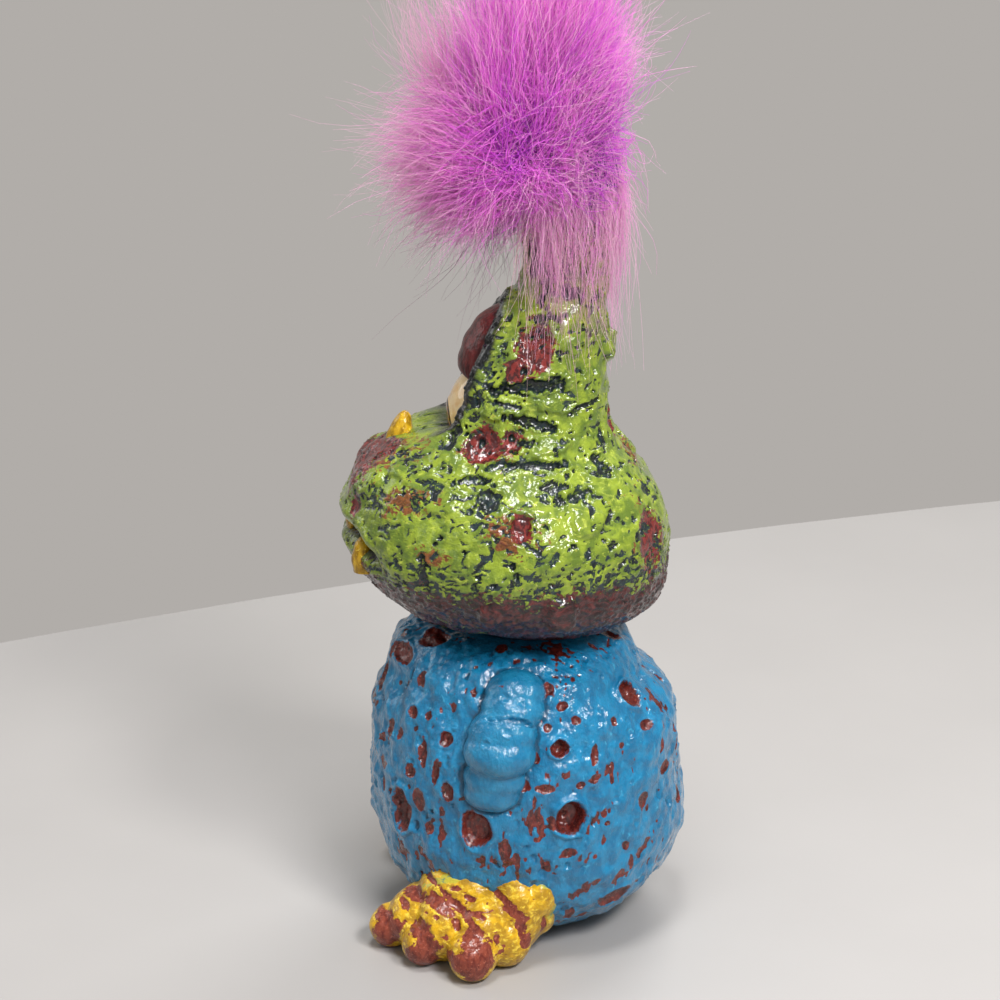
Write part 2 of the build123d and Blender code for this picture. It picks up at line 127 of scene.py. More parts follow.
def smooth_through(knots, count):
    """Points evenly spaced along a smooth curve through the knots."""
    knots = np.array(knots, float)
    padded = np.vstack([2 * knots[0] - knots[1], knots, 2 * knots[-1] - knots[-2]])
    share = np.linspace(0, 1, 30, endpoint=False)[:, None]
    fine = []
    for a, b, c, d in zip(padded, padded[1:], padded[2:], padded[3:]):
        squared, cubed = 2 * a - 5 * b + 4 * c - d, 3 * b - a - 3 * c + d
        fine.append(b + 0.5 * ((c - a) * share + squared * share**2 + cubed * share**3))
    fine = np.vstack([*fine, knots[-1:]])
    length = np.concatenate([[0], np.cumsum(np.linalg.norm(np.diff(fine, axis=0), axis=1))])
    wanted = np.linspace(0, length[-1], count)
    return np.stack([np.interp(wanted, length, column) for column in fine.T], 1)


def level_rings(radius, height, columns):
    """Points round the upright axis, in a ring for each radius and height."""
    turn = np.linspace(0, 2 * math.pi, columns, endpoint=False)
    return np.stack([radius * np.cos(turn), radius * np.sin(turn), height + 0 * turn], -1)


def faces_between(start, columns):
    """Faces between each row of points and the next, with rows that close on themselves."""
    here = np.arange(columns)
    after = (here + 1) % columns
    corners = [start + here, start + after, start + columns + after, start + columns + here]
    return np.stack(corners, -1).reshape(-1, 4)


def capped(rings):
    """Points and faces of a closed form from its rings, from the lowest to the highest."""
    rows, columns, _ = rings.shape
    points = np.concatenate([rings.reshape(-1, 3), [rings[0].mean(0)], [rings[-1].mean(0)]])
    here = np.arange(columns)
    after = (here + 1) % columns
    last = (rows - 1) * columns
    bottom = np.stack([np.full(columns, rows * columns), after, here], -1)
    top = np.stack([np.full(columns, rows * columns + 1), last + here, last + after], -1)
    return points, [faces_between(np.arange(rows - 1)[:, None] * columns, columns), bottom, top]


def ring_normals(rings):
    """The outward direction at every point of the rings."""
    around = np.roll(rings, -1, 1) - np.roll(rings, 1, 1)
    return unit(np.cross(around, np.gradient(rings, axis=0))).reshape(-1, 3)


def new_mesh(name, points, face_groups, fields=None):
    """A smooth mesh object, in metres, with a number for each point in every field."""
    mesh = bpy.data.meshes.new(name)
    corners = np.concatenate([group.ravel() for group in face_groups])
    sizes = np.concatenate([np.full(len(group), group.shape[1]) for group in face_groups])
    mesh.vertices.add(len(points))
    mesh.vertices.foreach_set("co", (points * MM).ravel())
    mesh.loops.add(len(corners))
    mesh.loops.foreach_set("vertex_index", corners.astype(np.int32))
    mesh.polygons.add(len(sizes))
    mesh.polygons.foreach_set("loop_start", (np.cumsum(sizes) - sizes).astype(np.int32))
    mesh.update(calc_edges=True)
    mesh.shade_smooth()
    for field, values in (fields or {}).items():
        layer = mesh.attributes.new(field, "FLOAT", "POINT")
        layer.data.foreach_set("value", np.asarray(values, np.float32))
    made = bpy.data.objects.new(name, mesh)
    bpy.context.scene.collection.objects.link(made)
    return made


def finish_piece(made, look, replaced):
    """Give a piece its paint and the solids it stands for."""
    made.data.materials.clear()
    made.data.materials.append(look)
    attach(made, "root")
    if replaced:
        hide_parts(*replaced)


# Paint


def linear(colour):
    """A written colour as the shader wants it."""
    parts = [int(colour[start : start + 2], 16) / 255 for start in (1, 3, 5)]
    return [part / 12.92 if part <= 0.04045 else ((part + 0.055) / 1.055) ** 2.4 for part in parts] + [1.0]


BARE_SHINE, COATED_SHINE, FUR_SHINE = 0.5, 0.12, 0.35


class Look:
    """A material built from nodes."""

    def __init__(self, name, roughness=0.4, coat=0.0, coat_roughness=0.1, sheen=0.0):
        self.material = bpy.data.materials.new(name)
        self.material.use_nodes = True
        self.tree = self.material.node_tree
        self.shader = self.tree.nodes["Principled BSDF"]
        self.shader.inputs["Roughness"].default_value = roughness
        self.shader.inputs["Coat Weight"].default_value = coat
        self.shader.inputs["Coat Roughness"].default_value = coat_roughness
        self.shader.inputs["Sheen Weight"].default_value = sheen
        self.shader.inputs["Specular IOR Level"].default_value = COATED_SHINE if coat else BARE_SHINE
        self.place = self.node("ShaderNodeTexCoord", {}).outputs["Object"]

    def join(self, value, socket):
        """Give a socket a link, a written colour or a number."""
        if isinstance(value, bpy.types.NodeSocket):
            self.tree.links.new(value, socket)
        else:
            socket.default_value = linear(value) if isinstance(value, str) else value

    def node(self, kind, inputs, **settings):
        """A new node with its settings and inputs."""
        made = self.tree.nodes.new(kind)
        for name, value in settings.items():
            setattr(made, name, value)
        for socket, value in inputs.items():
            self.join(value, made.inputs[socket])
        return made

    def field(self, name):
        return self.node("ShaderNodeAttribute", {}, attribute_name=name).outputs["Fac"]

    def grain(self, size, detail=3.0, stretch=(1, 1, 1), twist=0.0, soft=0.55):
        """Noise with features of a size in mm, drawn out along an axis where stretch is above 1."""
        scale = [1000 / size / share for share in stretch]
        place = self.node("ShaderNodeMapping", {"Vector": self.place, "Scale": scale}).outputs["Vector"]
        inputs = {"Vector": place, "Scale": 1.0, "Detail": detail, "Roughness": soft, "Distortion": twist}
        return self.node("ShaderNodeTexNoise", inputs).outputs["Fac"]

    def sum(self, kind, *parts):
        return self.node("ShaderNodeMath", dict(enumerate(parts)), operation=kind).outputs[0]

    def blend(self, share, a, b):
        inputs = {"Factor": share, "A": a, "B": b}
        return self.node("ShaderNodeMix", inputs, data_type="RGBA").outputs["Result"]

    def shift(self, value, low, high, a, b):
        """From the first colour to the second as a value rises from low to high."""
        inputs = {"Value": value, "From Min": low, "From Max": high}
        share = self.node("ShaderNodeMapRange", inputs, interpolation_type="SMOOTHSTEP").outputs["Result"]
        return self.blend(share, a, b)

    def patch(self, field, cloud, amount, a, b, low=-0.05, high=0.05):
        """The second colour where a painted field is above zero, its edge broken up by a noise."""
        rough = self.sum("MULTIPLY_ADD", cloud, 2 * amount, -amount)
        return self.shift(self.sum("ADD", self.field(field), rough), low, high, a, b)

    def bristled(self, grain, share):
        """A height with a share of very fine grain over it."""
        return self.sum("ADD", grain, self.sum("MULTIPLY", self.grain(FINE_GRAIN, 2), share))

    def relief(self, height, depth, socket):
        """Fine relief of a depth in mm for one of the shader's normals."""
        bump = self.node("ShaderNodeBump", {"Strength": 1.0, "Distance": depth * MM, "Height": height})
        self.join(bump.outputs["Normal"], self.shader.inputs[socket])

    def done(self, colour, height=None, depth=0.2, gloss=None, gloss_depth=0.2):
        """The material with its colour, its fine relief and that of the varnish over it."""
        self.join(colour, self.shader.inputs["Base Color"])
        if height is not None:
            self.relief(height, depth, "Normal")
            self.relief(gloss or height, gloss_depth if gloss else depth, "Coat Normal")
        return self.material


BLUE, BLUE_LIGHT, BLUE_PAINTED_SHADE = "#137ca8", "#3a9cc2", "#0a4a69"
MAROON, MAROON_DARK, MAROON_LIGHT = "#6a241d", "#381011", "#92432f"
GREEN, GREEN_LIGHT, GREEN_DARK = "#86992c", "#b0bd48", "#5a7025"
WASH, WASH_BLACK = "#1f2e33", "#12191b"
YELLOW, YELLOW_LIGHT, YELLOW_DARK = "#d2a51a", "#e8ca44", "#a37c1c"
FINE_GRAIN = 0.35


def maroon_paint(look, dark=MAROON_DARK, middle=MAROON, light=MAROON_LIGHT):
    """Brushed maroon with darker and lighter strokes."""
    base = look.shift(look.grain(1.1, 4, (1, 1, 2.2), 0.6), 0.35, 0.6, dark, middle)
    return look.shift(look.grain(0.6, 3), 0.56, 0.72, base, light)


def blue_look():
    look = Look("blue_skin_paint", roughness=0.36, coat=1.0, coat_roughness=0.06)
    edge = look.grain(1.0, 5, (1, 1, 2.0), 0.5, 0.68)
    blue = look.shift(look.grain(3.0, 4, (1, 1, 1.6), 0.6), 0.36, 0.64, "#0c6690", BLUE)
    blue = look.shift(look.grain(1.3, 4, (1, 1, 1.5), 0.5), 0.6, 0.76, blue, BLUE_LIGHT)
    # painted shade: a darker blue in the skin's recesses and in the dip round the arms
    blue = look.patch("painted_recess_shade", edge, 0.35, blue, BLUE_PAINTED_SHADE, -0.1, 0.4)
    pale = look.shift(look.grain(4.0, 3), 0.4, 0.62, "#0f6a92", "#1f7ca3")
    blue = look.blend(look.field("pale"), blue, pale)
    colour = look.patch("dab", edge, 0.34, blue, maroon_paint(look))
    height = look.bristled(look.grain(0.9, 4, (1, 1, 1.6), 0.4), 0.3)
    return look.done(colour, height, 0.4, look.grain(1.3, 3, (1, 1, 1.4), 0.3), 0.45)


def green_look():
    look = Look("green_skin_paint", roughness=0.36, coat=0.85, coat_roughness=0.05)
    edge = look.grain(0.8, 5, (1.3, 1.3, 1), 0.6, 0.68)
    fleck = look.grain(1.5, 6, (1.4, 1.4, 1), 0.9, 0.68)
    green = look.shift(look.grain(3.4, 4, (1, 1, 1), 0.5), 0.36, 0.66, GREEN_DARK, GREEN)
    green = look.shift(fleck, 0.54, 0.7, green, GREEN_LIGHT)
    wash = look.shift(look.grain(2.0, 3), 0.4, 0.6, WASH, WASH_BLACK)
    wash = look.shift(edge, 0.54, 0.64, wash, GREEN_DARK)
    rust = look.shift(edge, 0.4, 0.6, "#5a371c", "#7f4d25")
    red = look.shift(look.grain(1.0, 5, (1, 1, 1.6), 0.6), 0.42, 0.58, "#401516", "#772925")
    under = look.shift(fleck, 0.42, 0.66, "#231718", "#5c2725")
    colour = look.patch("rust", fleck, 1.5, green, rust, -0.03, 0.08)
    colour = look.patch("dab", fleck, 0.95, colour, red, -0.03, 0.06)
    colour = look.patch("wash", edge, 0.6, colour, wash, -0.03, 0.04)
    colour = look.patch("under", fleck, 1.9, colour, under, -0.16, 0.2)
    colour = look.blend(look.field("socket"), colour, "#0c1012")
    height = look.bristled(look.grain(0.9, 5, (1.4, 1.4, 1), 0.5), 0.35)
    return look.done(colour, height, 0.32, look.grain(1.3, 2, (1.3, 1.3, 1), 0.4), 0.26)


def foot_look():
    look = Look("foot_paint_strokes", roughness=0.36, coat=0.5, coat_roughness=0.16)
    edge = look.grain(1.0, 5, (1, 1, 1), 0.6, 0.68)
    yellow = look.shift(look.grain(2.5, 4), 0.4, 0.65, YELLOW_DARK, YELLOW)
    yellow = look.shift(look.grain(1.0, 4, (1.5, 1.5, 1), 0.5), 0.5, 0.7, yellow, YELLOW_LIGHT)
    smear = look.shift(edge, 0.38, 0.52, "#3f7a70", "#b3a836")
    colour = look.patch("smear", edge, 0.9, yellow, smear)
    colour = look.patch("dab", edge, 0.5, colour, maroon_paint(look, "#64281f", "#87402f", "#a8604c"))
    height = look.bristled(look.grain(0.8, 4, (1, 1, 1), 0.4), 0.3)
    return look.done(colour, height, 0.24, look.grain(1.4, 2), 0.2)


def tooth_look():
    look = Look("tooth_paint_strokes", roughness=0.28, coat=0.6, coat_roughness=0.1)
    colour = look.shift(look.grain(1.4, 4, (1, 1, 2)), 0.36, 0.6, "#8c690f", "#c69d1c")
    colour = look.shift(look.grain(0.7, 4), 0.6, 0.72, colour, "#e8c942")
    return look.done(colour, look.grain(0.8, 3, (1, 1, 2)), 0.2)


def lid_look():
    look = Look("lid_paint_strokes", roughness=0.42, coat=0.35, coat_roughness=0.12)
    colour = look.shift(look.grain(1.6, 4, (1, 1, 1.8)), 0.36, 0.6, "#3d1516", "#652423")
    return look.done(colour, look.grain(1.0, 4, (1, 1, 1.6)), 0.25)


def eye_look():
    """Rings round the gaze, by the angle from it in degrees."""
    look = Look("eye_paint_layers", roughness=0.14, coat=0.9, coat_roughness=0.04)
    turn = look.field("gaze")
    white = look.shift(look.grain(3.0, 4), 0.36, 0.6, "#eec78a", "#fbe0ac")
    uneven = look.sum("ADD", turn, look.sum("MULTIPLY", look.grain(1.2, 4), 14.0))
    white = look.shift(uneven, 88, 120, white, "#a9803f")
    iris = look.shift(look.grain(0.7, 3), 0.4, 0.62, "#5a3a13", "#b07a22")
    colour = look.shift(turn, 21.5, 22.7, iris, "#20140c")
    colour = look.shift(turn, 11.0, 12.0, "#070606", colour)
    colour = look.shift(turn, 24.0, 25.0, colour, white)
    return look.done(colour, look.grain(2.0, 2), 0.05)


FUR_DEEP = "#8a2fb2"
# Lighter dyes of the fur: from where to where each one sets in between root and tip
FUR_DYES = ((-0.04, 0.14, "#da58e9"), (0.12, 0.42, "#f27af2"), (0.4, 0.72, "#fa9cf0"), (0.68, 1.0, "#ffd8f3"))
FUR_THROUGH = 0.6


def fur_look():
    """Dyed hair that lets some light through."""
    look = Look("dyed_fur", roughness=0.5, sheen=0.25)
    along = look.field("along")
    shade = look.sum("ADD", along, look.sum("MULTIPLY_ADD", look.field("tint"), 0.85, -0.42))
    colour = FUR_DEEP
    for low, high, dye in FUR_DYES:
        colour = look.shift(shade, low, high, colour, dye)
    colour = look.blend(look.field("pale"), colour, "#f0d8d8")
    # painted shade: strands given a darkness, the wisps under the front of the fur, turn deep plum
    colour = look.blend(look.field("dark"), colour, "#6a2c50")
    through = look.node("ShaderNodeBsdfTranslucent", {"Color": colour}).outputs["BSDF"]
    inputs = {"Fac": FUR_THROUGH, 1: look.shader.outputs["BSDF"], 2: through}
    both = look.node("ShaderNodeMixShader", inputs).outputs["Shader"]
    look.join(both, look.tree.nodes["Material Output"].inputs["Surface"])
    look.shader.inputs["Specular IOR Level"].default_value = FUR_SHINE
    return look.done(colour)


def plain_look(name, dark, light, roughness, size, metallic=0.0, stretch=(1, 1, 1)):
    look = Look(name, roughness=roughness)
    look.shader.inputs["Metallic"].default_value = metallic
    cloud = look.grain(size, 4, stretch)
    return look.done(look.shift(cloud, 0.35, 0.65, dark, light), cloud, 0.1)


# Marks on a skin


class Skin:
    """Points and normals of a skin. Its spots have a middle, directions across and up in the skin,
    half sizes, a tilt in degrees and a depth, which painted spots need not have."""

    def __init__(self, points, normals):
        self.points, self.normals = points, normals

    def axes(self, index):
        """Level and upward directions in the skin at a point, as seen from outside."""
        normal = self.normals[index]
        right = np.cross((0.0, 0.0, 1.0), normal)
        right = right / (np.linalg.norm(right) + 1e-9)
        return right, np.cross(normal, right)

    def pictured(self, marks):
        """Spots for marks given by their place, width, height, tilt and depth in the picture."""
        across, down = in_picture(self.points)
        hidden = np.where(self.normals @ VIEW_BACK > 0.05, 0, 1e9)
        found = []
        for left, top, width, height, *rest in marks:
            index = int(((across - left) ** 2 + (down - top) ** 2 + hidden).argmin())
            right, up = self.axes(index)
            half_width = width / 2 / PICTURE_SCALE / max(abs(right @ VIEW_RIGHT), 0.5)
            half_height = height / 2 / PICTURE_SCALE / max(abs(up @ VIEW_UP), 0.5)
            found.append((self.points[index], right, up, half_width, half_height, *rest))
        return found

    def strewn(self, count, seed, wanted, sizes, long, depths=(0, 0)):
        """Spots strewn over the points where wanted is true."""
        draw = np.random.default_rng(seed)
        chosen = np.flatnonzero(wanted)
        found = []
        for _ in range(count):
            index = chosen[draw.integers(len(chosen))]
            half = draw.uniform(*sizes)
            rest = (half * draw.uniform(*long), draw.normal(0, 22), draw.uniform(*depths))
            found.append((self.points[index], *self.axes(index), half, *rest))
        return found

    def reach(self, spot, bend, seed):
        """Which points are near a spot, and how far out they lie, 1 at its uneven edge."""
        middle, right, up, half_width, half_height, tilt = spot[:6]
        wide = 1.9 * max(half_width, half_height)
        near = np.flatnonzero(((self.points - middle) ** 2).sum(1) < wide**2)
        away = self.points[near] - middle
        level, rise = turned(away @ right, away @ up, -tilt)
        out = np.sqrt((level / half_width) ** 2 + (rise / half_height) ** 2)
        return near, out + bend * noise(self.points[near], max(0.7 * min(half_width, half_height), 0.6), seed)

    def carve(self, spots, height, paint=None, rim=0.25, bend=0.22, every=1):
        """Sink spots into a height field, raise their rims, and note them in a paint field."""
        for number, spot in enumerate(spots):
            near, out = self.reach(spot, bend, number)
            depth = spot[6]
            height[near] -= depth * ramp(-out, -1.0, -0.6)
            height[near] += depth * rim * hump(out, 1.14, 0.16)
            if paint is not None and number % every == 0:
                paint[near] = np.maximum(paint[near], 1.0 - out)

    def daub(self, spots, paint, strength=1.0, bend=0.35):
        """Note spots in a paint field without carving them."""
        for number, spot in enumerate(spots):
            near, out = self.reach(spot, bend, number + 50)
            paint[near] = np.maximum(paint[near], strength * (1.05 - out))


# Body

BODY_RADIUS = 33.1
BODY_HEIGHT = 66.5
BASE_RADIUS = 13.0
SEAT_RADIUS = 14.0
BODY_SHARES = (
    (0.580, 0.036), (0.735, 0.090), (0.855, 0.152), (0.937, 0.226), (0.988, 0.340), (1.000, 0.481),
    (0.985, 0.632), (0.940, 0.752), (0.876, 0.850), (0.800, 0.917), (0.665, 0.967),
)
BODY_ROWS, BODY_COLUMNS = 290, 520
body_knots = [(BASE_RADIUS, 0.0)]
body_knots += [(BODY_RADIUS * out, BODY_HEIGHT * up) for out, up in BODY_SHARES]
body_knots += [(SEAT_RADIUS, BODY_HEIGHT)]
body_line = smooth_through(body_knots, BODY_ROWS)
# How much wider and longer a hole in a skin is than what stands in it
HOLE_GAP, HOLE_END = 0.15, 0.5

# Painted craters and chips of the body: place, width, height, tilt in the picture, and depth
BODY_CRATERS = (
    (570, 817, 30, 34, 0, 2.6), (476, 828, 30, 38, 8, 1.5), (634, 692, 17, 28, 24, 2.0),
    (559, 749, 18, 18, 0, 1.9), (402, 810, 16, 44, 0, 1.7), (411, 770, 10, 14, 0, 0.8),
    (446, 740, 12, 16, 0, 0.9), (410, 657, 16, 14, 0, 0.9), (437, 643, 16, 14, 0, 0.6),
    (449, 790, 12, 20, 0, 0.8), (424, 752, 8, 30, 5, 0.6), (437, 772, 8, 28, -5, 0.6),
    (425, 680, 8, 14, 0, 0.5), (390, 675, 7, 30, 0, 0.6), (394, 728, 7, 18, 0, 0.5),
    (417, 712, 8, 12, 0, 0.5), (430, 716, 7, 9, 0, 0.4), (645, 724, 12, 10, 0, 0.6),
    (607, 632, 10, 16, 0, 0.6), (563, 706, 12, 9, 20, 0.5), (575, 721, 9, 9, 0, 0.5),
    (548, 728, 9, 9, 0, 0.5), (595, 755, 8, 22, -10, 0.5), (594, 778, 9, 9, 0, 0.4),
    (580, 785, 9, 8, 0, 0.4), (546, 788, 20, 10, 0, 0.4), (524, 787, 11, 12, 0, 0.4),
    (536, 759, 8, 14, 20, 0.4), (567, 853, 18, 9, 10, 0.3), (505, 850, 12, 26, 0, 0.4),
    (568, 912, 10, 12, 0, 0.5), (582, 915, 12, 8, 0, 0.4), (502, 650, 11, 9, 0, 0.4),
    (420, 800, 12, 24, 0, 0.5), (428, 828, 10, 12, 0, 0.4), (672, 740, 8, 20, 0, 0.5),
    (661, 766, 9, 15, 0, 0.4), (672, 792, 8, 20, 0, 0.4), (612, 893, 26, 16, 30, 0.7),
    (640, 800, 8, 20, -15, 0.3),
)
# Worn places where the undercoat shows in strokes: place, width, height and tilt
BODY_SMEARS = (
    (538, 818, 34, 44, 10), (516, 866, 66, 22, -8), (595, 822, 36, 14, 40), (590, 852, 40, 12, 35),
    (625, 862, 34, 9, 40), (585, 886, 34, 10, 30), (441, 828, 8, 54, 0), (425, 858, 30, 22, 0),
    (557, 650, 26, 24, 20), (570, 678, 16, 18, 0), (452, 712, 8, 20, 0), (470, 690, 8, 18, 0),
    (606, 770, 14, 30, 15), (640, 845, 30, 10, 45), (655, 700, 14, 30, 0), (620, 740, 10, 24, 10),
    (400, 850, 14, 26, 0), (386, 760, 8, 40, 0), (382, 700, 6, 24, 0),
)
# Uneven swells of the body: direction round it, height, how far out, and their spreads
BODY_SWELLS = (
    (90, 59.0, -3.6, 55, 5.0), (90, 22.0, 2.4, 60, 12.0), (90, 47.0, 0.9, 40, 6.0),
    (-90, 62.0, 2.2, 50, 4.0), (-90, 50.0, 1.5, 50, 7.0), (-90, 20.0, -0.8, 50, 8.0),
)


def swollen(points):
    """How far the body's skin stands out of a regular ball."""
    turn = np.degrees(np.arctan2(points[:, 1], points[:, 0]))
    total = np.zeros(len(points))
    for angle, middle, out, spread, rise in BODY_SWELLS:
        away = (turn - angle + 180) % 360 - 180
        total += out * np.exp(-((away / spread) ** 2) - ((points[:, 2] - middle) / rise) ** 2)
    return total


def limb_edges(points):
    """1 in the narrow dip of the body's skin round the arms, 0 elsewhere."""
    total = np.zeros(len(points))
    for angle, height, sink, *halves in ARM_LOBES:
        for side in (1, -1):
            away = points * (side, 1, 1) - on_body(angle, height, sink)
            parts = (*turned(away[:, 0], away[:, 1], -angle), away[:, 2])
            reach = np.sqrt(sum((part / half) ** 2 for part, half in zip(parts, halves)))
            total = np.maximum(total, hump(reach, 1.0, 0.13))
    return total


def hole_wall(radius, heights, columns):
    """The two end rings of a round hole's wall."""
    return [level_rings(radius / MM + HOLE_GAP, height, columns) for height in heights]


def make_body(look):
    rings = level_rings(*body_line.T[..., None], BODY_COLUMNS)
    points, normals = rings.reshape(-1, 3), ring_normals(rings)
    skin = Skin(points, normals)
    z = points[:, 2]
    evened = swollen(points) + lumps(points, ((14.0, 0.55), (6.5, 0.45), (3.2, 0.36), (1.7, 0.24)), 3)
    upright = lumps(points, (((2.4, 2.4, 6.0), 0.45), ((1.2, 1.2, 2.6), 0.26)), 21)
    beside = limb_edges(points)
    height = evened + upright * (0.4 + 0.6 * ramp(-points[:, 1], -8, 10)) - 0.4 * beside
    paint, worn = np.full((2, len(points)), -1.0)
    sides = z > 4
    far = sides & ((points @ VIEW_BACK) < 2)
    skin.carve(skin.pictured(BODY_CRATERS), height, paint, 0.42, 0.13)
    skin.carve(skin.strewn(34, 5, far, (1.0, 3.1), (0.8, 1.7), (0.5, 1.4)), height, paint)
    pits = skin.strewn(420, 6, sides, (0.35, 0.95), (0.8, 2.0), (0.25, 0.55))
    skin.carve(pits, height, paint, 0.35, every=5)
    smears = skin.pictured(BODY_SMEARS) + skin.strewn(26, 8, far, (1.2, 3.6), (0.6, 2.2))
    skin.daub(smears, worn, 0.8)
    streaks = noise(points, (0.9, 0.9, 2.6), 33) + 0.6 * noise(points, (0.8, 0.8, 0.9), 34)
    worn = np.where(worn > -0.9, worn - 0.42 + 0.8 * streaks, -1.0)
    chips = noise(points, (0.8, 0.8, 1.9), 40) + 0.5 * noise(points, 6.0, 41) - 0.92
    height -= 0.25 * ramp(np.maximum(worn, chips), -0.15, 0.1)
    # painted shade: the blue darkens where the skin lies below its smooth form and in the dip round the arms
    low = np.maximum(ramp(evened - height, 0.15, 0.8), beside)
    paint = np.maximum(np.maximum(paint, worn), np.where(sides, chips, -1.0))
    give = ramp(z, 0.0, 3.5) * ramp(BODY_HEIGHT - z, 0.0, 1.5)
    points = points + normals * (height * give)[:, None]
    points[:, 2] = np.maximum(points[:, 2], 0.0)
    _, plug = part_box("base_plug")
    dowel_low, dowel_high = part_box("neck_dowel")
    inner = hole_wall(plug.x, (plug.z / MM + HOLE_END, 0.0), BODY_COLUMNS)
    outer = hole_wall(dowel_high.x, (BODY_HEIGHT, dowel_low.z / MM - HOLE_END), BODY_COLUMNS)
    points, faces = capped(np.concatenate([inner, points.reshape(rings.shape), outer]))
    beyond = (2 * BODY_COLUMNS, 2 * BODY_COLUMNS + 2)
    fields = {"dab": paint, "painted_recess_shade": low - 0.5}
    fields = {name: np.pad(field, beyond, constant_values=-1.0) for name, field in fields.items()}
    finish_piece(new_mesh("body_skin", points, faces, fields), look, ["body_shell"])


# Head and crown: front, back and side of level sections, each with its height
HEAD_KNOTS = (
    (-11.5, 66.5, 15.5, 66.5, 13.6, 66.5), (-18.2, 69.0, 21.7, 69.0, 20.0, 69.0),
    (-26.0, 72.0, 27.0, 72.0, 26.2, 72.0), (-32.0, 76.0, 29.6, 76.0, 30.3, 76.0),
    (-36.0, 81.0, 30.5, 81.0, 32.8, 81.0), (-38.1, 87.0, 30.7, 87.0, 34.0, 87.0),
    (-38.2, 93.0, 29.6, 93.0, 33.0, 93.0), (-36.6, 99.5, 26.9, 99.0, 29.9, 99.0),
    (-33.4, 104.4, 22.8, 103.7, 25.5, 103.3), (-27.0, 108.6, 19.8, 107.0, 21.5, 106.6),
    (-20.8, 110.6, 18.6, 110.0, 18.5, 109.2), (-17.6, 112.4, 17.9, 113.0, 16.8, 112.4),
    (-16.2, 117.0, 17.4, 119.0, 16.0, 118.0), (-13.3, 124.5, 17.5, 124.5, 15.1, 124.5),
    (-9.4, 130.0, 17.8, 130.0, 13.4, 130.0), (-5.5, 135.0, 17.6, 135.0, 11.6, 135.0),
    (-2.0, 140.0, 17.3, 140.0, 10.0, 140.0), (-0.3, 146.0, 17.7, 146.0, 9.3, 146.0),
    (-0.3, 152.0, 17.9, 152.0, 9.1, 152.0), (-0.1, 163.0, 17.4, 163.0, 8.5, 163.0),
    (-0.2, 171.0, 14.8, 171.0, 7.3, 171.0), (0.7, 175.6, 10.9, 175.6, 4.9, 175.6),
    (3.0, 178.0, 7.6, 178.0, 2.4, 178.0),
)
HEAD_ROWS, HEAD_COLUMNS = 410, 520
head_line = smooth_through(HEAD_KNOTS, HEAD_ROWS)
MOUTH_HEIGHT = 88.0
MOUTH_SWEEP = 38.0
NOSE_MIDDLE = np.array((0.0, -34.0, 103.0))
NOSE_HALVES = np.array((12.0, 7.0, 7.0))
EYE_MIDDLE = np.array((0.0, -5.3, 113.0))
EYE_RADIUS = 11.5
SOCKET_HEIGHT = 120.5
SOCKET_HALF_WIDTH = 11.8
SOCKET_HALF_HEIGHT = 15.5

# Marks of the head: place, width, height, tilt in the picture, and the depth of those that are carved
HEAD_REDS = (
    (534, 348, 40, 54, 0, 0.7), (516, 372, 22, 26, 0, 0.5), (482, 449, 44, 32, 8, 0.7),
    (512, 442, 20, 26, 0, 0.4), (521, 530, 24, 34, 0, 1.0), (651, 540, 20, 62, -12, 0.6),
    (609, 420, 9, 30, 0, 0.4), (372, 450, 40, 24, 35, 0.5), (357, 505, 10, 22, 0, 0.3),
)
HEAD_RUSTS = (
    (507, 535, 78, 50, 0), (404, 500, 62, 36, 15), (632, 455, 26, 34, -35), (382, 458, 56, 46, 35),
    (494, 450, 74, 52, 0), (430, 560, 40, 30, 0), (651, 540, 36, 84, -12),
)
HEAD_CREASES = (
    (530, 387, 92, 14, 6, 1.3), (528, 424, 66, 11, -12, 1.0), (505, 405, 30, 8, -10, 0.6),
    (527, 443, 24, 10, 0, 0.7), (525, 466, 100, 11, -4, 1.1), (578, 495, 26, 14, 15, 0.9),
    (552, 488, 30, 12, -10, 0.7), (490, 500, 22, 24, 0, 0.8), (602, 470, 14, 26, 10, 0.8),
    (421, 572, 10, 44, 8, 0.9), (570, 292, 30, 16, -10, 0.8), (540, 318, 24, 8, 10, 0.5),
    (585, 405, 30, 7, 10, 0.6), (470, 480, 40, 9, 12, 0.7), (560, 500, 10, 14, 0, 0.9),
    (612, 545, 9, 9, 0, 0.8), (450, 440, 14, 30, 10, 0.6), (600, 440, 8, 24, -8, 0.6),
    (534, 252, 12, 50, 0, 0.8), (548, 272, 9, 40, 6, 0.7), (563, 262, 7, 30, 4, 0.6),
    (541, 300, 12, 18, 20, 0.6),
)
HEAD_WASHES = (
    (470, 515, 60, 60, 0), (428, 500, 70, 44, 10), (478, 395, 30, 80, 12), (560, 270, 70, 60, 0),
    (470, 588, 150, 34, 8), (560, 600, 90, 26, -8), (384, 540, 30, 60, 20), (610, 590, 80, 26, 20),
    (410, 455, 60, 30, 10), (370, 500, 30, 40, 0), (640, 480, 26, 50, -30), (540, 500, 40, 40, 0),
    (620, 440, 30, 30, 0), (540, 560, 60, 24, 0),
)
HEAD_LUMPS = (
    (616, 346, 26, 34, 0, -1.8), (562, 616, 36, 36, 0, -1.6), (489, 618, 26, 22, 0, -1.1),
    (575, 345, 30, 26, 0, -0.9), (500, 410, 50, 24, 8, -0.8), (560, 405, 46, 20, 0, -0.8),
    (545, 448, 60, 22, 0, -0.8), (640, 420, 26, 26, 0, -0.8), (590, 520, 40, 34, 0, -0.8),
    (440, 500, 50, 40, 0, -0.8), (366, 480, 26, 44, 0, -1.0), (410, 470, 50, 26, 0, -0.8),
)


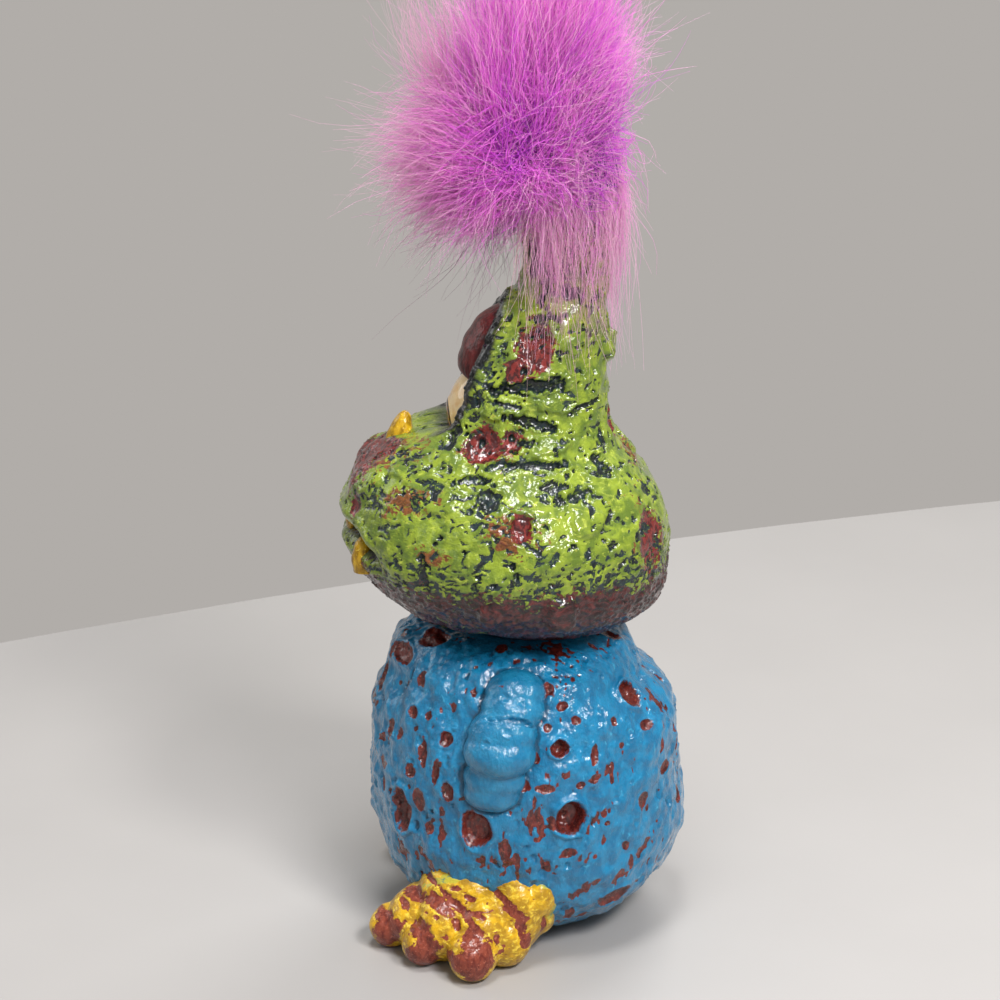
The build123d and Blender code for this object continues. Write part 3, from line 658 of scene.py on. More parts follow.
def head_rings():
    turn = np.linspace(0, 2 * math.pi, HEAD_COLUMNS, endpoint=False)
    front_y, front_z, back_y, back_z, side_x, side_z = head_line.T[..., None]
    cosine, sine = -np.sin(turn), np.cos(turn)
    boxy = 1.5 * ramp(front_z, 106, 114) * ramp(-front_z, -142, -132) * (cosine > 0)
    power = 2 + boxy
    square = (np.abs(cosine) ** power + np.abs(sine) ** power) ** (-1 / power)
    x = side_x * sine * square
    y = (front_y + back_y) / 2 + (front_y - back_y) / 2 * cosine * square
    level = (front_z + back_z) / 4 + side_z / 2
    swing = (front_z + back_z) / 4 - side_z / 2
    z = level + (front_z - back_z) / 2 * cosine + swing * np.cos(2 * turn + math.pi)
    return np.stack([x, y, z], -1)


def make_head(look):
    rings = head_rings()
    points, normals = rings.reshape(-1, 3), ring_normals(rings)
    skin = Skin(points, normals)
    x, y, z = points.T
    height = lumps(points, ((15.0, 0.75), (7.0, 0.48), (3.6, 0.2), (1.9, 0.08)), 60)
    height += 0.5 * ramp(z, 112, 120) * noise(points, (9.0, 9.0, 3.4), 71)
    red, rust, worn = np.full((3, len(points)), -1.0)
    broad = (z > 76) & (z < 150)
    face = (y < 0) & (np.abs(x) < 24) & (z > 80)
    back_side = ((points @ VIEW_BACK) < 20) & (x < -2) & broad & ~face
    bumps = skin.pictured(HEAD_LUMPS)
    aside = [spot for spot in bumps if spot[0][0] > 9]
    bumps += [(middle * MIRROR, right * MIRROR, up * MIRROR, *rest) for middle, right, up, *rest in aside]
    skin.carve(bumps, height, rim=0.0)
    skin.carve(skin.pictured(HEAD_REDS), height, red, 0.3)
    red = np.maximum(red, 1 - np.linalg.norm((points - NOSE_MIDDLE) / NOSE_HALVES, axis=1))
    skin.carve(skin.strewn(9, 12, back_side, (2.0, 4.2), (0.8, 1.6), (0.5, 1.0)), height, red, 0.3)
    skin.daub(skin.pictured(HEAD_RUSTS), rust, 0.7)
    skin.daub(skin.strewn(8, 15, back_side, (3.0, 7.0), (0.6, 1.3)), rust, 0.7)

    # bare islands in the green, deeper than it, with crisp edges
    holes = np.zeros(len(points))
    skin.carve(skin.pictured(HEAD_CREASES), holes, rim=0.3, bend=0.5)
    skin.carve(skin.strewn(18, 13, back_side, (2.5, 7.0), (0.12, 0.3), (0.6, 1.0)), holes, rim=0.3)
    skin.carve(skin.strewn(700, 14, broad, (0.3, 0.9), (0.5, 1.6), (0.3, 0.8)), holes, rim=0.3)
    skin.daub(skin.pictured(HEAD_WASHES), worn)
    skin.daub(skin.strewn(14, 16, back_side, (4.0, 9.0), (0.5, 1.2)), worn, 0.9)
    flow = points + 1.2 * np.stack([noise(points, 2.8, seed) for seed in (85, 86, 87)], 1)
    wash = noise(flow, (1.9, 1.9, 1.0), 88) + 0.55 * noise(flow, (1.0, 1.0, 0.7), 89) - 0.66
    leathery = ramp(-y, -7.0, 4.0) * ramp(z, 92.0, 99.0)
    fine = 0.95 * noise(flow, (1.1, 1.1, 0.62), 93) + 0.75 * noise(flow, (0.65, 0.65, 0.5), 94) - 0.62
    wash += leathery * (fine - wash)
    wash += 0.36 * noise(points, 6.5, 77) + 0.6 * np.clip(worn + 0.1, 0, 1)
    wash += 0.14 * ramp(z, 134, 150) + 0.5 * ramp(-z, -91.0, -82.0)
    wash += 0.16 * ramp(-y, -2.0, 12.0) * ramp(z, 108, 114)
    speckle = noise(flow, (1.0, 1.0, 0.6), 95) + 0.6 * noise(points, 0.55, 96) - 0.22
    speckle += 0.35 * ramp(-z, -87.0, -82.0)
    low_band = ramp(-z + 2.0 * noise(points, 9.0, 97), -91.5, -87.0)
    wash += low_band * (speckle - wash)
    wash = np.maximum(wash, ramp(-holes, 0.12, 0.4) - 0.4)
    height += holes - 0.32 * ramp(wash, -0.12, 0.14)
    under = 1.5 * ramp(-z, -87.0, -77.5) - 0.8 + 0.4 * noise(points, 8.0, 91)
    under += 0.45 * ramp(-y, 16, 30) * ramp(-z, -90.0, -86.0)

    # mouth groove between its lips
    angle = np.degrees(np.arctan2(x, -(y + 3.7)))
    line = MOUTH_HEIGHT + 2.2 - 3.4 * (angle / MOUTH_SWEEP) ** 2 + 0.5 * noise(points, 6.0, 80)
    over = z - line
    inside = ramp(-np.abs(angle), -MOUTH_SWEEP - 3, -MOUTH_SWEEP + 6) * (y < 0)
    height += inside * (0.9 * hump(over, 3.6, 1.9) + 0.8 * hump(over, -3.4, 1.8))
    height -= inside * 2.8 * hump(over, 0.0, 1.3)
    dark_mouth = inside * hump(over, 0.0, 1.5)

    # eye socket, set back behind a swollen rim
    ring = np.hypot(x / SOCKET_HALF_WIDTH, (z - SOCKET_HEIGHT) / SOCKET_HALF_HEIGHT)
    ring += np.where(y < 2, 0.0, 9.0)
    over_snout = ramp(z, 107.5, 110.0) * ramp(y, -21.0, -18.6)
    height += 0.6 * over_snout * hump(ring, 1.13, 0.1)
    points = points + normals * (height * ramp(z, 66.5, 69.0))[:, None]
    low_rim = hump(ring, 1.1, 0.22) * ramp(-points[:, 2], -122, -117)
    points[:, 1] += over_snout * (6.4 * ramp(-ring, -1.02, -0.72) + 1.6 * low_rim)
    edge = 1.16 + 0.05 * noise(points, 2.5, 81)
    socket = np.maximum(over_snout * ramp(edge - ring, -0.02, 0.04), ramp(dark_mouth, 0.25, 0.7))

    _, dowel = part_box("neck_dowel")
    inner = hole_wall(dowel.x, (dowel.z / MM + HOLE_END, BODY_HEIGHT), HEAD_COLUMNS)
    points, faces = capped(np.concatenate([inner, points.reshape(rings.shape)]))
    # each field with its value on the hole's wall
    fields = {
        "dab": (red, -1.0),
        "rust": (rust - 0.36, -1.0),
        "wash": (wash, -1.0),
        "under": (under, 1.0),
        "socket": (socket, 0.0),
    }
    beyond = (2 * HEAD_COLUMNS, 2)
    fields = {name: np.pad(field, beyond, constant_values=rest) for name, (field, rest) in fields.items()}
    finish_piece(new_mesh("head_skin", points, faces, fields), look, ["head_casting"])


# Eye, lid, teeth and horn


def ball_rings(rows, columns):
    """Unit ball as rings from its lowest to its highest."""
    rise = np.linspace(-math.pi / 2, math.pi / 2, rows + 2)[1:-1][:, None]
    return level_rings(np.cos(rise), np.sin(rise), columns)


def make_eye(look):
    points, faces = capped(ball_rings(90, 120))
    gaze = Vector((0.0, -1.0, -0.18)).normalized()
    turn = np.degrees(np.arccos(np.clip(points @ np.array(gaze), -1, 1)))
    bulge = 0.35 * ramp(-turn, -29, -21)
    points = EYE_MIDDLE + points * (EYE_RADIUS + bulge - 0.35)[:, None]
    finish_piece(new_mesh("eye_ball", points, faces, {"gaze": turn}), look, ["eyeball"])


LID_MIDDLE = np.array((0.0, -2.6, 121.5))
LID_HALVES = np.array((10.2, 11.0, 14.2))
LID_THICKNESS = 1.6
LID_TURN = 90.0
LID_EDGE_MIDDLE = 1.6
LID_EDGE_SIDE = -2.2
LID_ROWS, LID_COLUMNS = 60, 120


def make_lid(look):
    """A hood whose outer and inner skin meet in a rounded lower edge."""
    turn = np.radians(np.linspace(-LID_TURN, LID_TURN, LID_COLUMNS))
    edge_height = LID_EDGE_MIDDLE + (LID_EDGE_SIDE - LID_EDGE_MIDDLE) * (1 - np.cos(turn))
    edge_height = edge_height + 0.2 * np.cos(3 * turn)
    lowest = np.arcsin(edge_height / LID_HALVES[2])
    shares = np.linspace(1, 0, LID_ROWS)
    round_edge = np.linspace(-math.pi / 2, math.pi / 2, 9)[1:-1]
    steps = [(share, 1.0) for share in shares]
    steps += [(-0.055 * math.cos(bend), -math.sin(bend)) for bend in round_edge]
    steps += [(share, -1.0) for share in shares[::-1]]
    taper = 1 - np.abs(turn / turn[-1]) ** 10
    layers = []
    for share, side in steps:
        rise = lowest + (math.pi / 2 - lowest) * share
        shell = np.stack([np.sin(turn) * np.cos(rise), -np.cos(turn) * np.cos(rise), np.sin(rise)], -1)
        layers.append(LID_MIDDLE + shell * (LID_HALVES + LID_THICKNESS * 0.5 * side * taper[:, None]))
    grid = np.array(layers)
    normals = unit(np.cross(np.gradient(grid, axis=0), np.gradient(grid, axis=1))).reshape(-1, 3)
    flat = grid.reshape(-1, 3)
    wrinkle = 0.1 * np.sin((flat[:, 2] + 0.05 * flat[:, 0] ** 2) * 1.5) * ramp(flat[:, 2], 122, 125)
    height = wrinkle + lumps(flat, ((6.0, 0.16), (1.6, 0.04)), 90)
    outer = np.repeat(np.array([side for _, side in steps]), LID_COLUMNS)
    flat = flat - normals * (height * np.where(outer > 0, 1, 0.3))[:, None]
    here = np.arange(len(steps) - 1)[:, None] * LID_COLUMNS + np.arange(LID_COLUMNS - 1)
    over = here + LID_COLUMNS
    faces = np.stack([here, over, over + 1, here + 1], -1).reshape(-1, 4)
    finish_piece(new_mesh("eye_lid", flat, [faces]), look, ["upper_eyelid"])


# Outline of a tooth or horn: half width and height as shares of the whole
CONE_SHARES = (
    (1.02, 0.0), (1.02, 0.25), (1.0, 0.42), (0.94, 0.56), (0.82, 0.70), (0.62, 0.84), (0.38, 0.94),
    (0.14, 0.99),
)


def make_cone(name, node, look, upper, lean, seed):
    """A blunt, slightly bent cone in the place of a tooth or horn."""
    low, high = (np.array(corner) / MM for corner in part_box(node))
    half = min(high[0] - low[0], high[1] - low[1]) / 2
    tall = high[2] - low[2]
    line = smooth_through([(half * out, tall * up) for out, up in CONE_SHARES], 46)
    points, faces = capped(level_rings(*line.T[..., None], 48))
    spread = points[:, :2] * (1 + 0.10 * noise(points, 2.6, seed))[:, None]
    points = np.column_stack([spread, points[:, 2]])
    points[:, 1] += lean * (points[:, 2] / tall) ** 2
    if upper:
        points = points * (1, -1, -1)
    points += (*(low + high)[:2] / 2, high[2] if upper else low[2])
    finish_piece(new_mesh(name, points, faces), look, [node])


# Limbs


def blended(name, forms, voxel, smooth):
    """Balls, each a middle, half sizes and a turn, melted into one smooth form."""
    ball, ball_faces = capped(ball_rings(22, 36))
    points, quads, triangles = [], [], []
    for number, (middle, halves, turn) in enumerate(forms):
        x, y, z = (ball * halves).T
        points.append(np.column_stack([*turned(x, y, turn), z]) + middle)
        first = number * len(ball)
        quads.append(ball_faces[0] + first)
        triangles += [ball_faces[1] + first, ball_faces[2] + first]
    face_groups = [np.concatenate(quads), np.concatenate(triangles)]
    rough = new_mesh(name + "_rough", np.concatenate(points), face_groups)
    shell = rough.modifiers.new("shell", "REMESH")
    shell.mode = "VOXEL"
    shell.voxel_size = voxel * MM
    ease = rough.modifiers.new("ease", "SMOOTH")
    ease.factor = 0.5
    ease.iterations = smooth
    bpy.context.view_layer.update()
    done = rough.evaluated_get(bpy.context.evaluated_depsgraph_get()).to_mesh()
    where = np.zeros(len(done.vertices) * 3)
    done.vertices.foreach_get("co", where)
    normals = np.zeros(len(done.vertices) * 3)
    done.vertices.foreach_get("normal", normals)
    quads = np.zeros(len(done.loops), np.int32)
    done.loops.foreach_get("vertex_index", quads)
    bpy.data.objects.remove(rough)
    return Skin(where.reshape(-1, 3) / MM, normals.reshape(-1, 3)), quads.reshape(-1, 4)


def mirrored_pair(base, points, quads, fields, look, turn=0.0):
    """The left limb and its mirror image on the right, turned round the body."""
    made = new_mesh(base + "_left_skin", points, [quads], fields)
    finish_piece(made, look, [base + "_left"])
    x, y, z = (points * MIRROR).T
    points = np.column_stack([*turned(x, y, turn), z])
    other = new_mesh(base + "_right_skin", points, [quads[:, ::-1]], fields)
    finish_piece(other, look, [base + "_right"])


def on_body(angle, height, sink):
    """A place under or over the body's skin."""
    radius = np.interp(height, body_line[:, 1], body_line[:, 0]) - sink
    return (*turned(radius, 0.0, angle), height)


# Lobes of the arm: angle round the body, height, how far the middle is sunk, half sizes
# outwards, across and up
ARM_LOBES = (
    (-4.6, 59.6, 1.8, 5.6, 6.4, 4.9), (-5.6, 56.6, 1.4, 5.9, 6.8, 4.8), (-9.0, 52.4, -0.2, 6.2, 7.2, 5.6),
    (-9.6, 48.8, -0.6, 6.3, 7.6, 5.6), (-12.0, 42.8, 0.8, 4.9, 6.9, 4.8),
    (-12.8, 40.2, 1.0, 4.5, 6.3, 4.6),
)
ARM_DIMPLES = ((505, 697, 11, 11, 0), (521, 704, 7, 7, 0), (507, 733, 11, 11, 0), (486, 745, 9, 10, 0))
ARM_CREASES = ((512, 720, 56, 6, -14, 1.0),)


def make_arms(look):
    forms = [(on_body(angle, height, sink), halves, angle) for angle, height, sink, *halves in ARM_LOBES]
    skin, quads = blended("arm", forms, 0.38, 9)
    height = lumps(skin.points, ((6.0, 0.3), (2.6, 0.16)), 120)
    for number, spot in enumerate(skin.pictured(ARM_DIMPLES)):
        near, out = skin.reach(spot, 0.1, number)
        height[near] += 0.26 * hump(out, 1.0, 0.24) - 0.2 * ramp(-out, -0.8, -0.3)
    skin.carve(skin.pictured(ARM_CREASES), height, rim=0.3)
    points = skin.points + skin.normals * height[:, None]
    chips = 0.8 * noise(points, 1.2, 125) - 0.8
    # painted shade: the blue darkens where the arm's skin sinks into its creases and dimples
    fields = {"dab": chips, "painted_recess_shade": ramp(-height, 0.3, 0.9) - 0.6, "pale": np.full(len(points), 0.85)}
    mirrored_pair("arm", points, quads, fields, look)


RIGHT_FOOT_TURN = 8.0
# Lobes of the foot: middle, half sizes and turn
FOOT_LOBES = (
    ((21.4, -28.3, 4.6), (5.6, 4.8, 4.9), -50), ((29.6, -21.0, 4.8), (6.0, 4.7, 5.1), -35),
    ((36.2, -11.0, 5.2), (6.4, 5.3, 5.6), -17), ((21.5, -21.5, 7.0), (9.0, 7.2, 7.4), -42),
    ((26.5, -15.5, 7.9), (9.6, 6.8, 8.4), -28), ((29.0, -8.5, 8.2), (9.4, 7.0, 8.6), -10),
    ((22.6, -12.6, 12.6), (9.6, 10.4, 9.2), -15), ((26.0, -2.0, 12.0), (8.8, 7.0, 10.2), 0),
    ((30.6, -4.6, 6.4), (6.0, 6.0, 6.4), -8), ((24.4, 2.6, 15.4), (9.0, 4.6, 6.4), 5),
    ((23.2, 2.4, 9.8), (7.4, 4.4, 5.6), 5),
)
# Maroon of the foot in the picture: toes, stripes and flecks
FOOT_DABS = (
    (386, 932, 26, 40, 0), (382, 916, 12, 13, 0), (398, 926, 10, 13, 0), (424, 954, 30, 37, 0),
    (421, 928, 17, 18, 0), (474, 964, 39, 37, 0), (472, 943, 20, 22, 0), (468, 934, 8, 10, 0),
    (414, 892, 30, 9, -28), (438, 904, 36, 11, -25), (464, 913, 32, 7, -14), (474, 914, 24, 5, -8),
    (457, 924, 8, 12, 20), (500, 897, 34, 7, -24), (514, 914, 32, 8, -28), (521, 924, 10, 22, 12),
    (525, 940, 11, 18, 0), (543, 924, 5, 18, 5), (455, 888, 12, 5, 0), (470, 899, 12, 5, 0),
    (497, 937, 6, 7, 0), (499, 952, 7, 5, 0), (447, 938, 4, 7, 0), (428, 874, 25, 5, 0),
    (404, 903, 13, 7, -30), (436, 918, 5, 5, 0),
)
FOOT_SMEARS = ((470, 874, 90, 9, 0), (532, 881, 44, 8, -10), (556, 905, 8, 30, 0))


def make_feet(look):
    skin, quads = blended("foot", FOOT_LOBES, 0.42, 6)
    points, normals = skin.points, skin.normals
    height = lumps(points, ((7.0, 0.35), (3.0, 0.18), (1.4, 0.04)), 130)
    dab, smear = np.full((2, len(points)), -1.0)
    skin.daub(skin.pictured(FOOT_DABS), dab, bend=0.3)
    skin.daub(skin.pictured(FOOT_SMEARS), smear, bend=0.3)
    chips = 0.95 * noise(points, (1.6, 1.6, 0.6), 135) - 0.68
    unseen = (normals @ VIEW_BACK) < 0.05
    stripes = 0.9 * noise(points, (5.0, 5.0, 3.0), 136) - 0.35
    dab = np.maximum(np.maximum(dab, chips), np.where(unseen & (points[:, 2] < 12), stripes, -1.0))
    height -= 0.35 * ramp(dab, -0.1, 0.2) * (points[:, 2] > 9)
    points = points + normals * (height * ramp(points[:, 2], 0.2, 1.6))[:, None]
    points[:, 2] = np.maximum(points[:, 2], 0.02)
    mirrored_pair("foot", points, quads, {"dab": dab, "smear": smear}, look, -RIGHT_FOOT_TURN)


# Fur

PARTING = np.array((0.0, -1.0, 168.0))
# How far the fur reaches from the parting, by direction in the upright plane, from straight up
# towards the back
FUR_REACH = (
    (-180, 11), (-160, 15), (-142, 23), (-125, 26), (-111, 28), (-91, 32), (-83, 30), (-73, 29),
    (-64, 27), (-52, 25), (-46, 26), (-34, 30), (-20, 41), (0, 55), (12, 55), (22, 50), (34, 41),
    (47, 33), (56, 23), (63, 18), (77, 15), (95, 14), (118, 15), (150, 15), (180, 11),
)
FUR_HALF_DEPTH = 16.0
UPRIGHT_PLANE = np.array((0, 1, 1))
STRAND_STEPS = 10


def off_crown(points, gap):
    """Points moved out of the crown to at least a gap from its skin."""
    z = points[..., 2]
    front, back, half_width = (np.interp(z, head_line[:, side + 1], head_line[:, side]) for side in (0, 2, 4))
    middle, half_depth = (front + back) / 2, (back - front) / 2
    x, y = points[..., 0], points[..., 1] - middle
    reach = np.sqrt((x / (half_width + gap)) ** 2 + (y / (half_depth + gap)) ** 2) + 1e-6
    push = np.where((reach < 1) & (z < 177.5), 1 / reach, 1.0)
    return np.stack([x * push, y * push + middle, z], -1)


def guide_lines(root, start, bend, tip, gap):
    """Smooth lines from roots to tips that keep a gap to the crown."""
    share = np.linspace(0, 1, STRAND_STEPS)[None, :, None]
    lines = (
        root[:, None] * (1 - share) ** 3
        + 3 * start[:, None] * (1 - share) ** 2 * share
        + 3 * bend[:, None] * (1 - share) * share**2
        + tip[:, None] * share**3
    )
    return off_crown(lines, gap)


def reach_towards(turn):
    """How far the fur reaches from the parting, for turns from straight up in radians."""
    return np.interp(np.degrees(turn), *np.array(FUR_REACH, float).T)


def fan(count, draw):
    """Directions of tufts, more often where the fur is long and thick, and the reach there."""
    every = np.arange(-180, 180)
    thin = 1 - 0.5 * ramp(-every, 16, 30) * ramp(every, -74, -52)
    weights = thin * reach_towards(np.radians(every)) ** 1.2
    turn = np.radians(draw.choice(every, count, p=weights / weights.sum()) + draw.uniform(-0.5, 0.5, count))
    return np.stack([0 * turn, np.sin(turn), np.cos(turn)], -1), reach_towards(turn)


def strewn_in(draw, count, *ranges):
    """Places strewn in a box given by its ranges."""
    return np.stack([draw.uniform(low, high, count) for low, high in ranges], -1)


def puff_guides(count, draw):
    """The middle lines of the tufts that stand out all round the tip."""
    flat, reach = fan(count, draw)
    inner = draw.uniform(0, 1, count) < 0.7
    short, long = draw.uniform(0.4, 0.82, count), draw.uniform(0.8, 1.06, count)
    reach = reach * np.where(inner, short, long)
    side = draw.uniform(-1, 1, count)
    size = reach * np.sqrt(1 - 0.55 * side**2)
    root_x = np.where(side > 0, 1, -1) * draw.uniform(2, 7.5, count)
    spread = draw.uniform(0.0, 1.0, count) ** 0.5
    root_y = 2.0 + flat[:, 1] * 8.0 * spread + draw.normal(0, 2.6, count)
    root_z = 169.0 + flat[:, 2] * 8.0 * spread + draw.normal(0, 2.6, count)
    root = np.stack([root_x, root_y, root_z], -1)
    tip = PARTING + flat * size[:, None]
    tip[:, 0] = side * FUR_HALF_DEPTH * draw.uniform(0.7, 1.0, count)
    tip[:, 2] -= 1.5 + 0.06 * reach
    apart = (tip - root) * (1, 0, 0)
    sway, swing = draw.normal(0, 2.6, (count, 3)), draw.normal(0, 4.4, (count, 3))
    start = root + 0.75 * apart + flat * (0.14 * size)[:, None] + (0, 0, 1.5) + sway
    bend = root + 1.1 * apart + flat * (0.6 * size)[:, None] + (0, 0, 2.2) + swing
    return guide_lines(root, start, bend, tip, 0.5)


def drape_guides(count, draw, side):
    """Tufts that fall down over one side and the back of the crown."""
    turn = np.radians(-8 + 100 * draw.uniform(0, 1, count) ** 1.5)
    around = np.stack([side * np.cos(turn), np.sin(turn), 0 * turn], -1)
    up = np.array((0.0, 0.0, 1.0))
    height = draw.uniform(161, 174, count)[:, None]
    low = height - 9 - 25 * (draw.uniform(0.15, 1.0, count) ** 0.8)[:, None]
    root = around * (8.5, 10.0, 0) + (0, 4.5, 0) + height * up
    tip = around * (12.0, 11.5, 0) + (0, 4.5, 0) + draw.normal(0, 1.2, (count, 3)) + low * up
    start = root + around * 3.5 + draw.normal(0, 1.4, (count, 3))
    bend = (root + tip) / 2 + around * 1.4 + draw.normal(0, 1.8, (count, 3))
    return guide_lines(root, start, bend, tip, 0.8)


def veil_guides(count, draw):
    """Sparse strands that rise in front of the fan."""
    lean = draw.uniform(-26, -11, count)
    root = strewn_in(draw, count, (-7, 7), (-9, 0), (168, 176))
    start = np.stack([root[:, 0], (root[:, 1] + lean) / 2, draw.uniform(172, 180, count)], -1)
    bend = np.stack([draw.normal(0, 6, count), lean, draw.uniform(179, 188, count)], -1)
    tip_x, tip_y = draw.normal(0, 8, count), lean + draw.normal(0, 2.5, count)
    tip = np.stack([tip_x, tip_y, draw.uniform(190, 208, count)], -1)
    return guide_lines(root, start, bend, tip, 0.5)


def thread_guides(count, draw, side):
    """Long thin strands that hang down in front of the crown's side."""
    root = strewn_in(draw, count, (7, 9), (-2, 9), (158, 168)) * (side, 1, 1)
    low = draw.uniform(120, 148, count)
    tip = np.stack([side * draw.uniform(11, 16, count), root[:, 1] + draw.normal(1, 3.5, count), low], -1)
    start = root + (4 * side, 0, -3)
    bend = root + (tip - root) * 0.6 + draw.normal(0, 1.8, (count, 3)) + (2.0 * side, 0, 0)
    return guide_lines(root, start, bend, tip, 0.9)


def comb_guides(count, draw, side):
    """Long strands that lie over one side of the fur, spread like a fan from the parting."""
    flat, reach = fan(count, draw)
    reach = reach * draw.uniform(0.45, 1.02, count)
    out = np.array((side, 0.0, 0.0))
    root = PARTING + draw.normal(0, 3.4, (count, 3)) * UPRIGHT_PLANE
    root += out * draw.uniform(9, 14, count)[:, None]
    tip = PARTING + flat * reach[:, None] + draw.normal(0, 2.6, (count, 3)) * UPRIGHT_PLANE
    tip += out * (draw.uniform(9, 17, count) * (1.15 - 0.5 * reach / 55))[:, None]
    swing = draw.normal(0, 3.4, (count, 3))
    start = root + (tip - root) * 0.3 + swing + out * 4.0
    bend = root + (tip - root) * 0.68 - 0.8 * swing + out * 2.5
    return guide_lines(root, start, bend, tip, 0.8)


def wisp_guides(count, draw):
    """Curly strands under the front of the fur, darkened to paint the shade beneath it."""
    root = strewn_in(draw, count, (-8, 8), (-8, 0), (158, 166))
    tip = strewn_in(draw, count, (-12, 12), (-25, -2), (137, 155))
    start = root + (0, -3, -1) + draw.normal(0, 1, (count, 3))
    bend = (root + tip) / 2 + draw.normal(0, 3.5, (count, 3))
    return guide_lines(root, start, bend, tip, 0.8)


# Kinds of strands: spread round the guide at root, middle and tip, radius, wave, darkness,
# paleness, and how light the root already is
PUFF = ((1.4, 2.4, 1.6), 0.07, 1.1, 0, 0, 0)
# painted light in part: the drape is light from its roots and a little pale, its own paler dye plus a
# lightening against the shade the puff casts on it
DRAPE = ((0.6, 0.8, 1.0), 0.075, 1.3, 0, 0.15, 1.0)
VEIL = ((1.0, 1.4, 1.6), 0.055, 1.9, 0, 0.4, 0.4)
COMB = ((1.0, 1.6, 1.8), 0.085, 1.9, 0, 0, 0.3)
THREADS = ((0.5, 0.6, 0.6), 0.1, 1.1, 0, 1.0, 0)
# the wisps' darkness is painted shade under the front of the fur
WISPS = ((0.5, 1.4, 1.8), 0.055, 1.9, 0.75, 0, 0)


def make_strands(name, guides, count, draw, look, kind):
    """Fine tapered strands gathered in tufts round the guides."""
    spread, radius, wave, dark, pale, lift = kind
    chosen = draw.integers(0, len(guides), count)
    share = np.linspace(0, 1, STRAND_STEPS)
    length = np.clip(draw.normal(0.9, 0.16, count), 0.3, 1.12)
    where = share * length[:, None] * (STRAND_STEPS - 1)
    base = np.minimum(where.astype(int), STRAND_STEPS - 2)
    part = (where - base)[..., None]
    line = guides[chosen[:, None], base] * (1 - part) + guides[chosen[:, None], base + 1] * part
    line = line + draw.normal(0, 1, (count, 1, 3)) * np.interp(share, (0, 0.45, 1), spread)[:, None]
    stray = (draw.uniform(0, 1, (count, 1, 1)) < 0.3) * draw.normal(0, 1, (count, 1, 3)) * 4.0
    line = line + stray * (share**1.6)[:, None]
    phase = draw.uniform(0, 2 * math.pi, (count, 1, 3))
    pace = draw.uniform(3.0, 8.5, (count, 1, 3))
    line = line + wave * np.sin(phase + pace * share[:, None]) * (0.15 + share)[:, None]
    line = off_crown(line, 0.35)
    along = unit(np.gradient(line, axis=1))
    aside = unit(np.cross(along, (0.31, 0.52, 0.80)))
    other = np.cross(along, aside)
    thick = radius * draw.uniform(0.75, 1.25, (count, 1)) * (1 - 0.78 * share**1.5)
    corners = []
    for corner in range(3):
        turn = 2 * math.pi * corner / 3
        corners.append(line + thick[..., None] * (math.cos(turn) * aside + math.sin(turn) * other))
    points = np.stack(corners, 2).reshape(-1, 3)
    rows = np.arange(count)[:, None] * STRAND_STEPS + np.arange(STRAND_STEPS - 1)
    tint = 0.7 * draw.uniform(0, 1, count) + 0.3 * draw.uniform(0, 1, len(guides))[chosen]
    veil = 0.3 * np.repeat(ramp(-line[..., 1], 12.0, 26.0).ravel(), 3)
    fields = {
        "along": lift + (1 - lift) * np.repeat((share * length[:, None]).ravel(), 3),
        "tint": np.repeat(tint, STRAND_STEPS * 3),
        "dark": np.full(len(points), dark),
        "pale": np.maximum(pale, veil * (1 - dark)),
    }
    made = new_mesh(name, points, [faces_between(rows[..., None] * 3, 3)], fields)
    finish_piece(made, look, [])


def make_fur(look):
    draw = np.random.default_rng(404)
    puff = puff_guides(1300, draw)
    names = [f"fur_{level}_{letter}" for level in ("low", "mid", "top") for letter in "abc"]
    for name, group in zip(names, np.array_split(puff[:, -1, 2].argsort(), len(names))):
        make_strands(name, puff[group], 2900, draw, look, PUFF)
    drapes = [drape_guides(110, draw, side) for side in (1, -1)]
    for name, drape in zip(("left", "right"), drapes):
        make_strands(f"fur_drape_{name}", drape, 1150, draw, look, DRAPE)
    make_strands("fur_veil", veil_guides(160, draw), 420, draw, look, VEIL)
    for name, side in (("left", 1), ("right", -1)):
        make_strands(f"fur_comb_{name}", comb_guides(420, draw, side), 2300, draw, look, COMB)
    threads = np.concatenate([thread_guides(60, draw, 1), thread_guides(50, draw, -1)])
    make_strands("fur_threads", threads, 60, draw, look, THREADS)
    make_strands("fur_wisps", wisp_guides(60, draw), 200, draw, look, WISPS)
    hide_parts("fur_crest")
    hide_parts("fur_front_lock")
    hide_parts("fur_back_lock")


# Everything in place

blue = blue_look()
green = green_look()
yellow_feet = foot_look()
teeth_paint = tooth_look()
make_body(blue)
make_head(green)
make_eye(eye_look())
make_lid(lid_look())
for number, side in enumerate(("left", "right")):
    make_cone(f"tooth_upper_{side}", f"upper_tooth_{side}", teeth_paint, True, 0.2, 140 + number)
    make_cone(f"tooth_lower_{side}", f"lower_tooth_{side}", teeth_paint, False, -0.3, 150 + number)
make_cone("horn_nose", "snout_horn", teeth_paint, False, 1.2, 160)
make_arms(blue)
make_feet(yellow_feet)
make_fur(fur_look())

plain = {
    "base_plug": plain_look("plug_resin_grain", "#8d8a80", "#a8a498", 0.6, 3.0),
    "neck_dowel": plain_look("dowel_wood_grain", "#a97f4e", "#caa16a", 0.65, 1.2, 0.0, (1, 1, 8)),
    "fur_hide": plain_look("hide_skin", "#3a2358", "#5d3a7d", 0.75, 1.2),
}
steel = plain_look("pin_steel_grain", "#83868a", "#a9acb0", 0.3, 0.4, 1.0)
for name in ("arm_pin_left", "arm_pin_right", "foot_pin_left", "foot_pin_right"):
    plain[name] = steel
for name, look in plain.items():
    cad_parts[name].data.materials.clear()
    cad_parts[name].data.materials.append(look)

# Floor, lights and camera

TABLE_MIDDLE = (1296.0, 650.0)
TABLE_RADIUS = 1657.0
WALL_PLACE = -1600.0
WALL_HALF = 1500.0
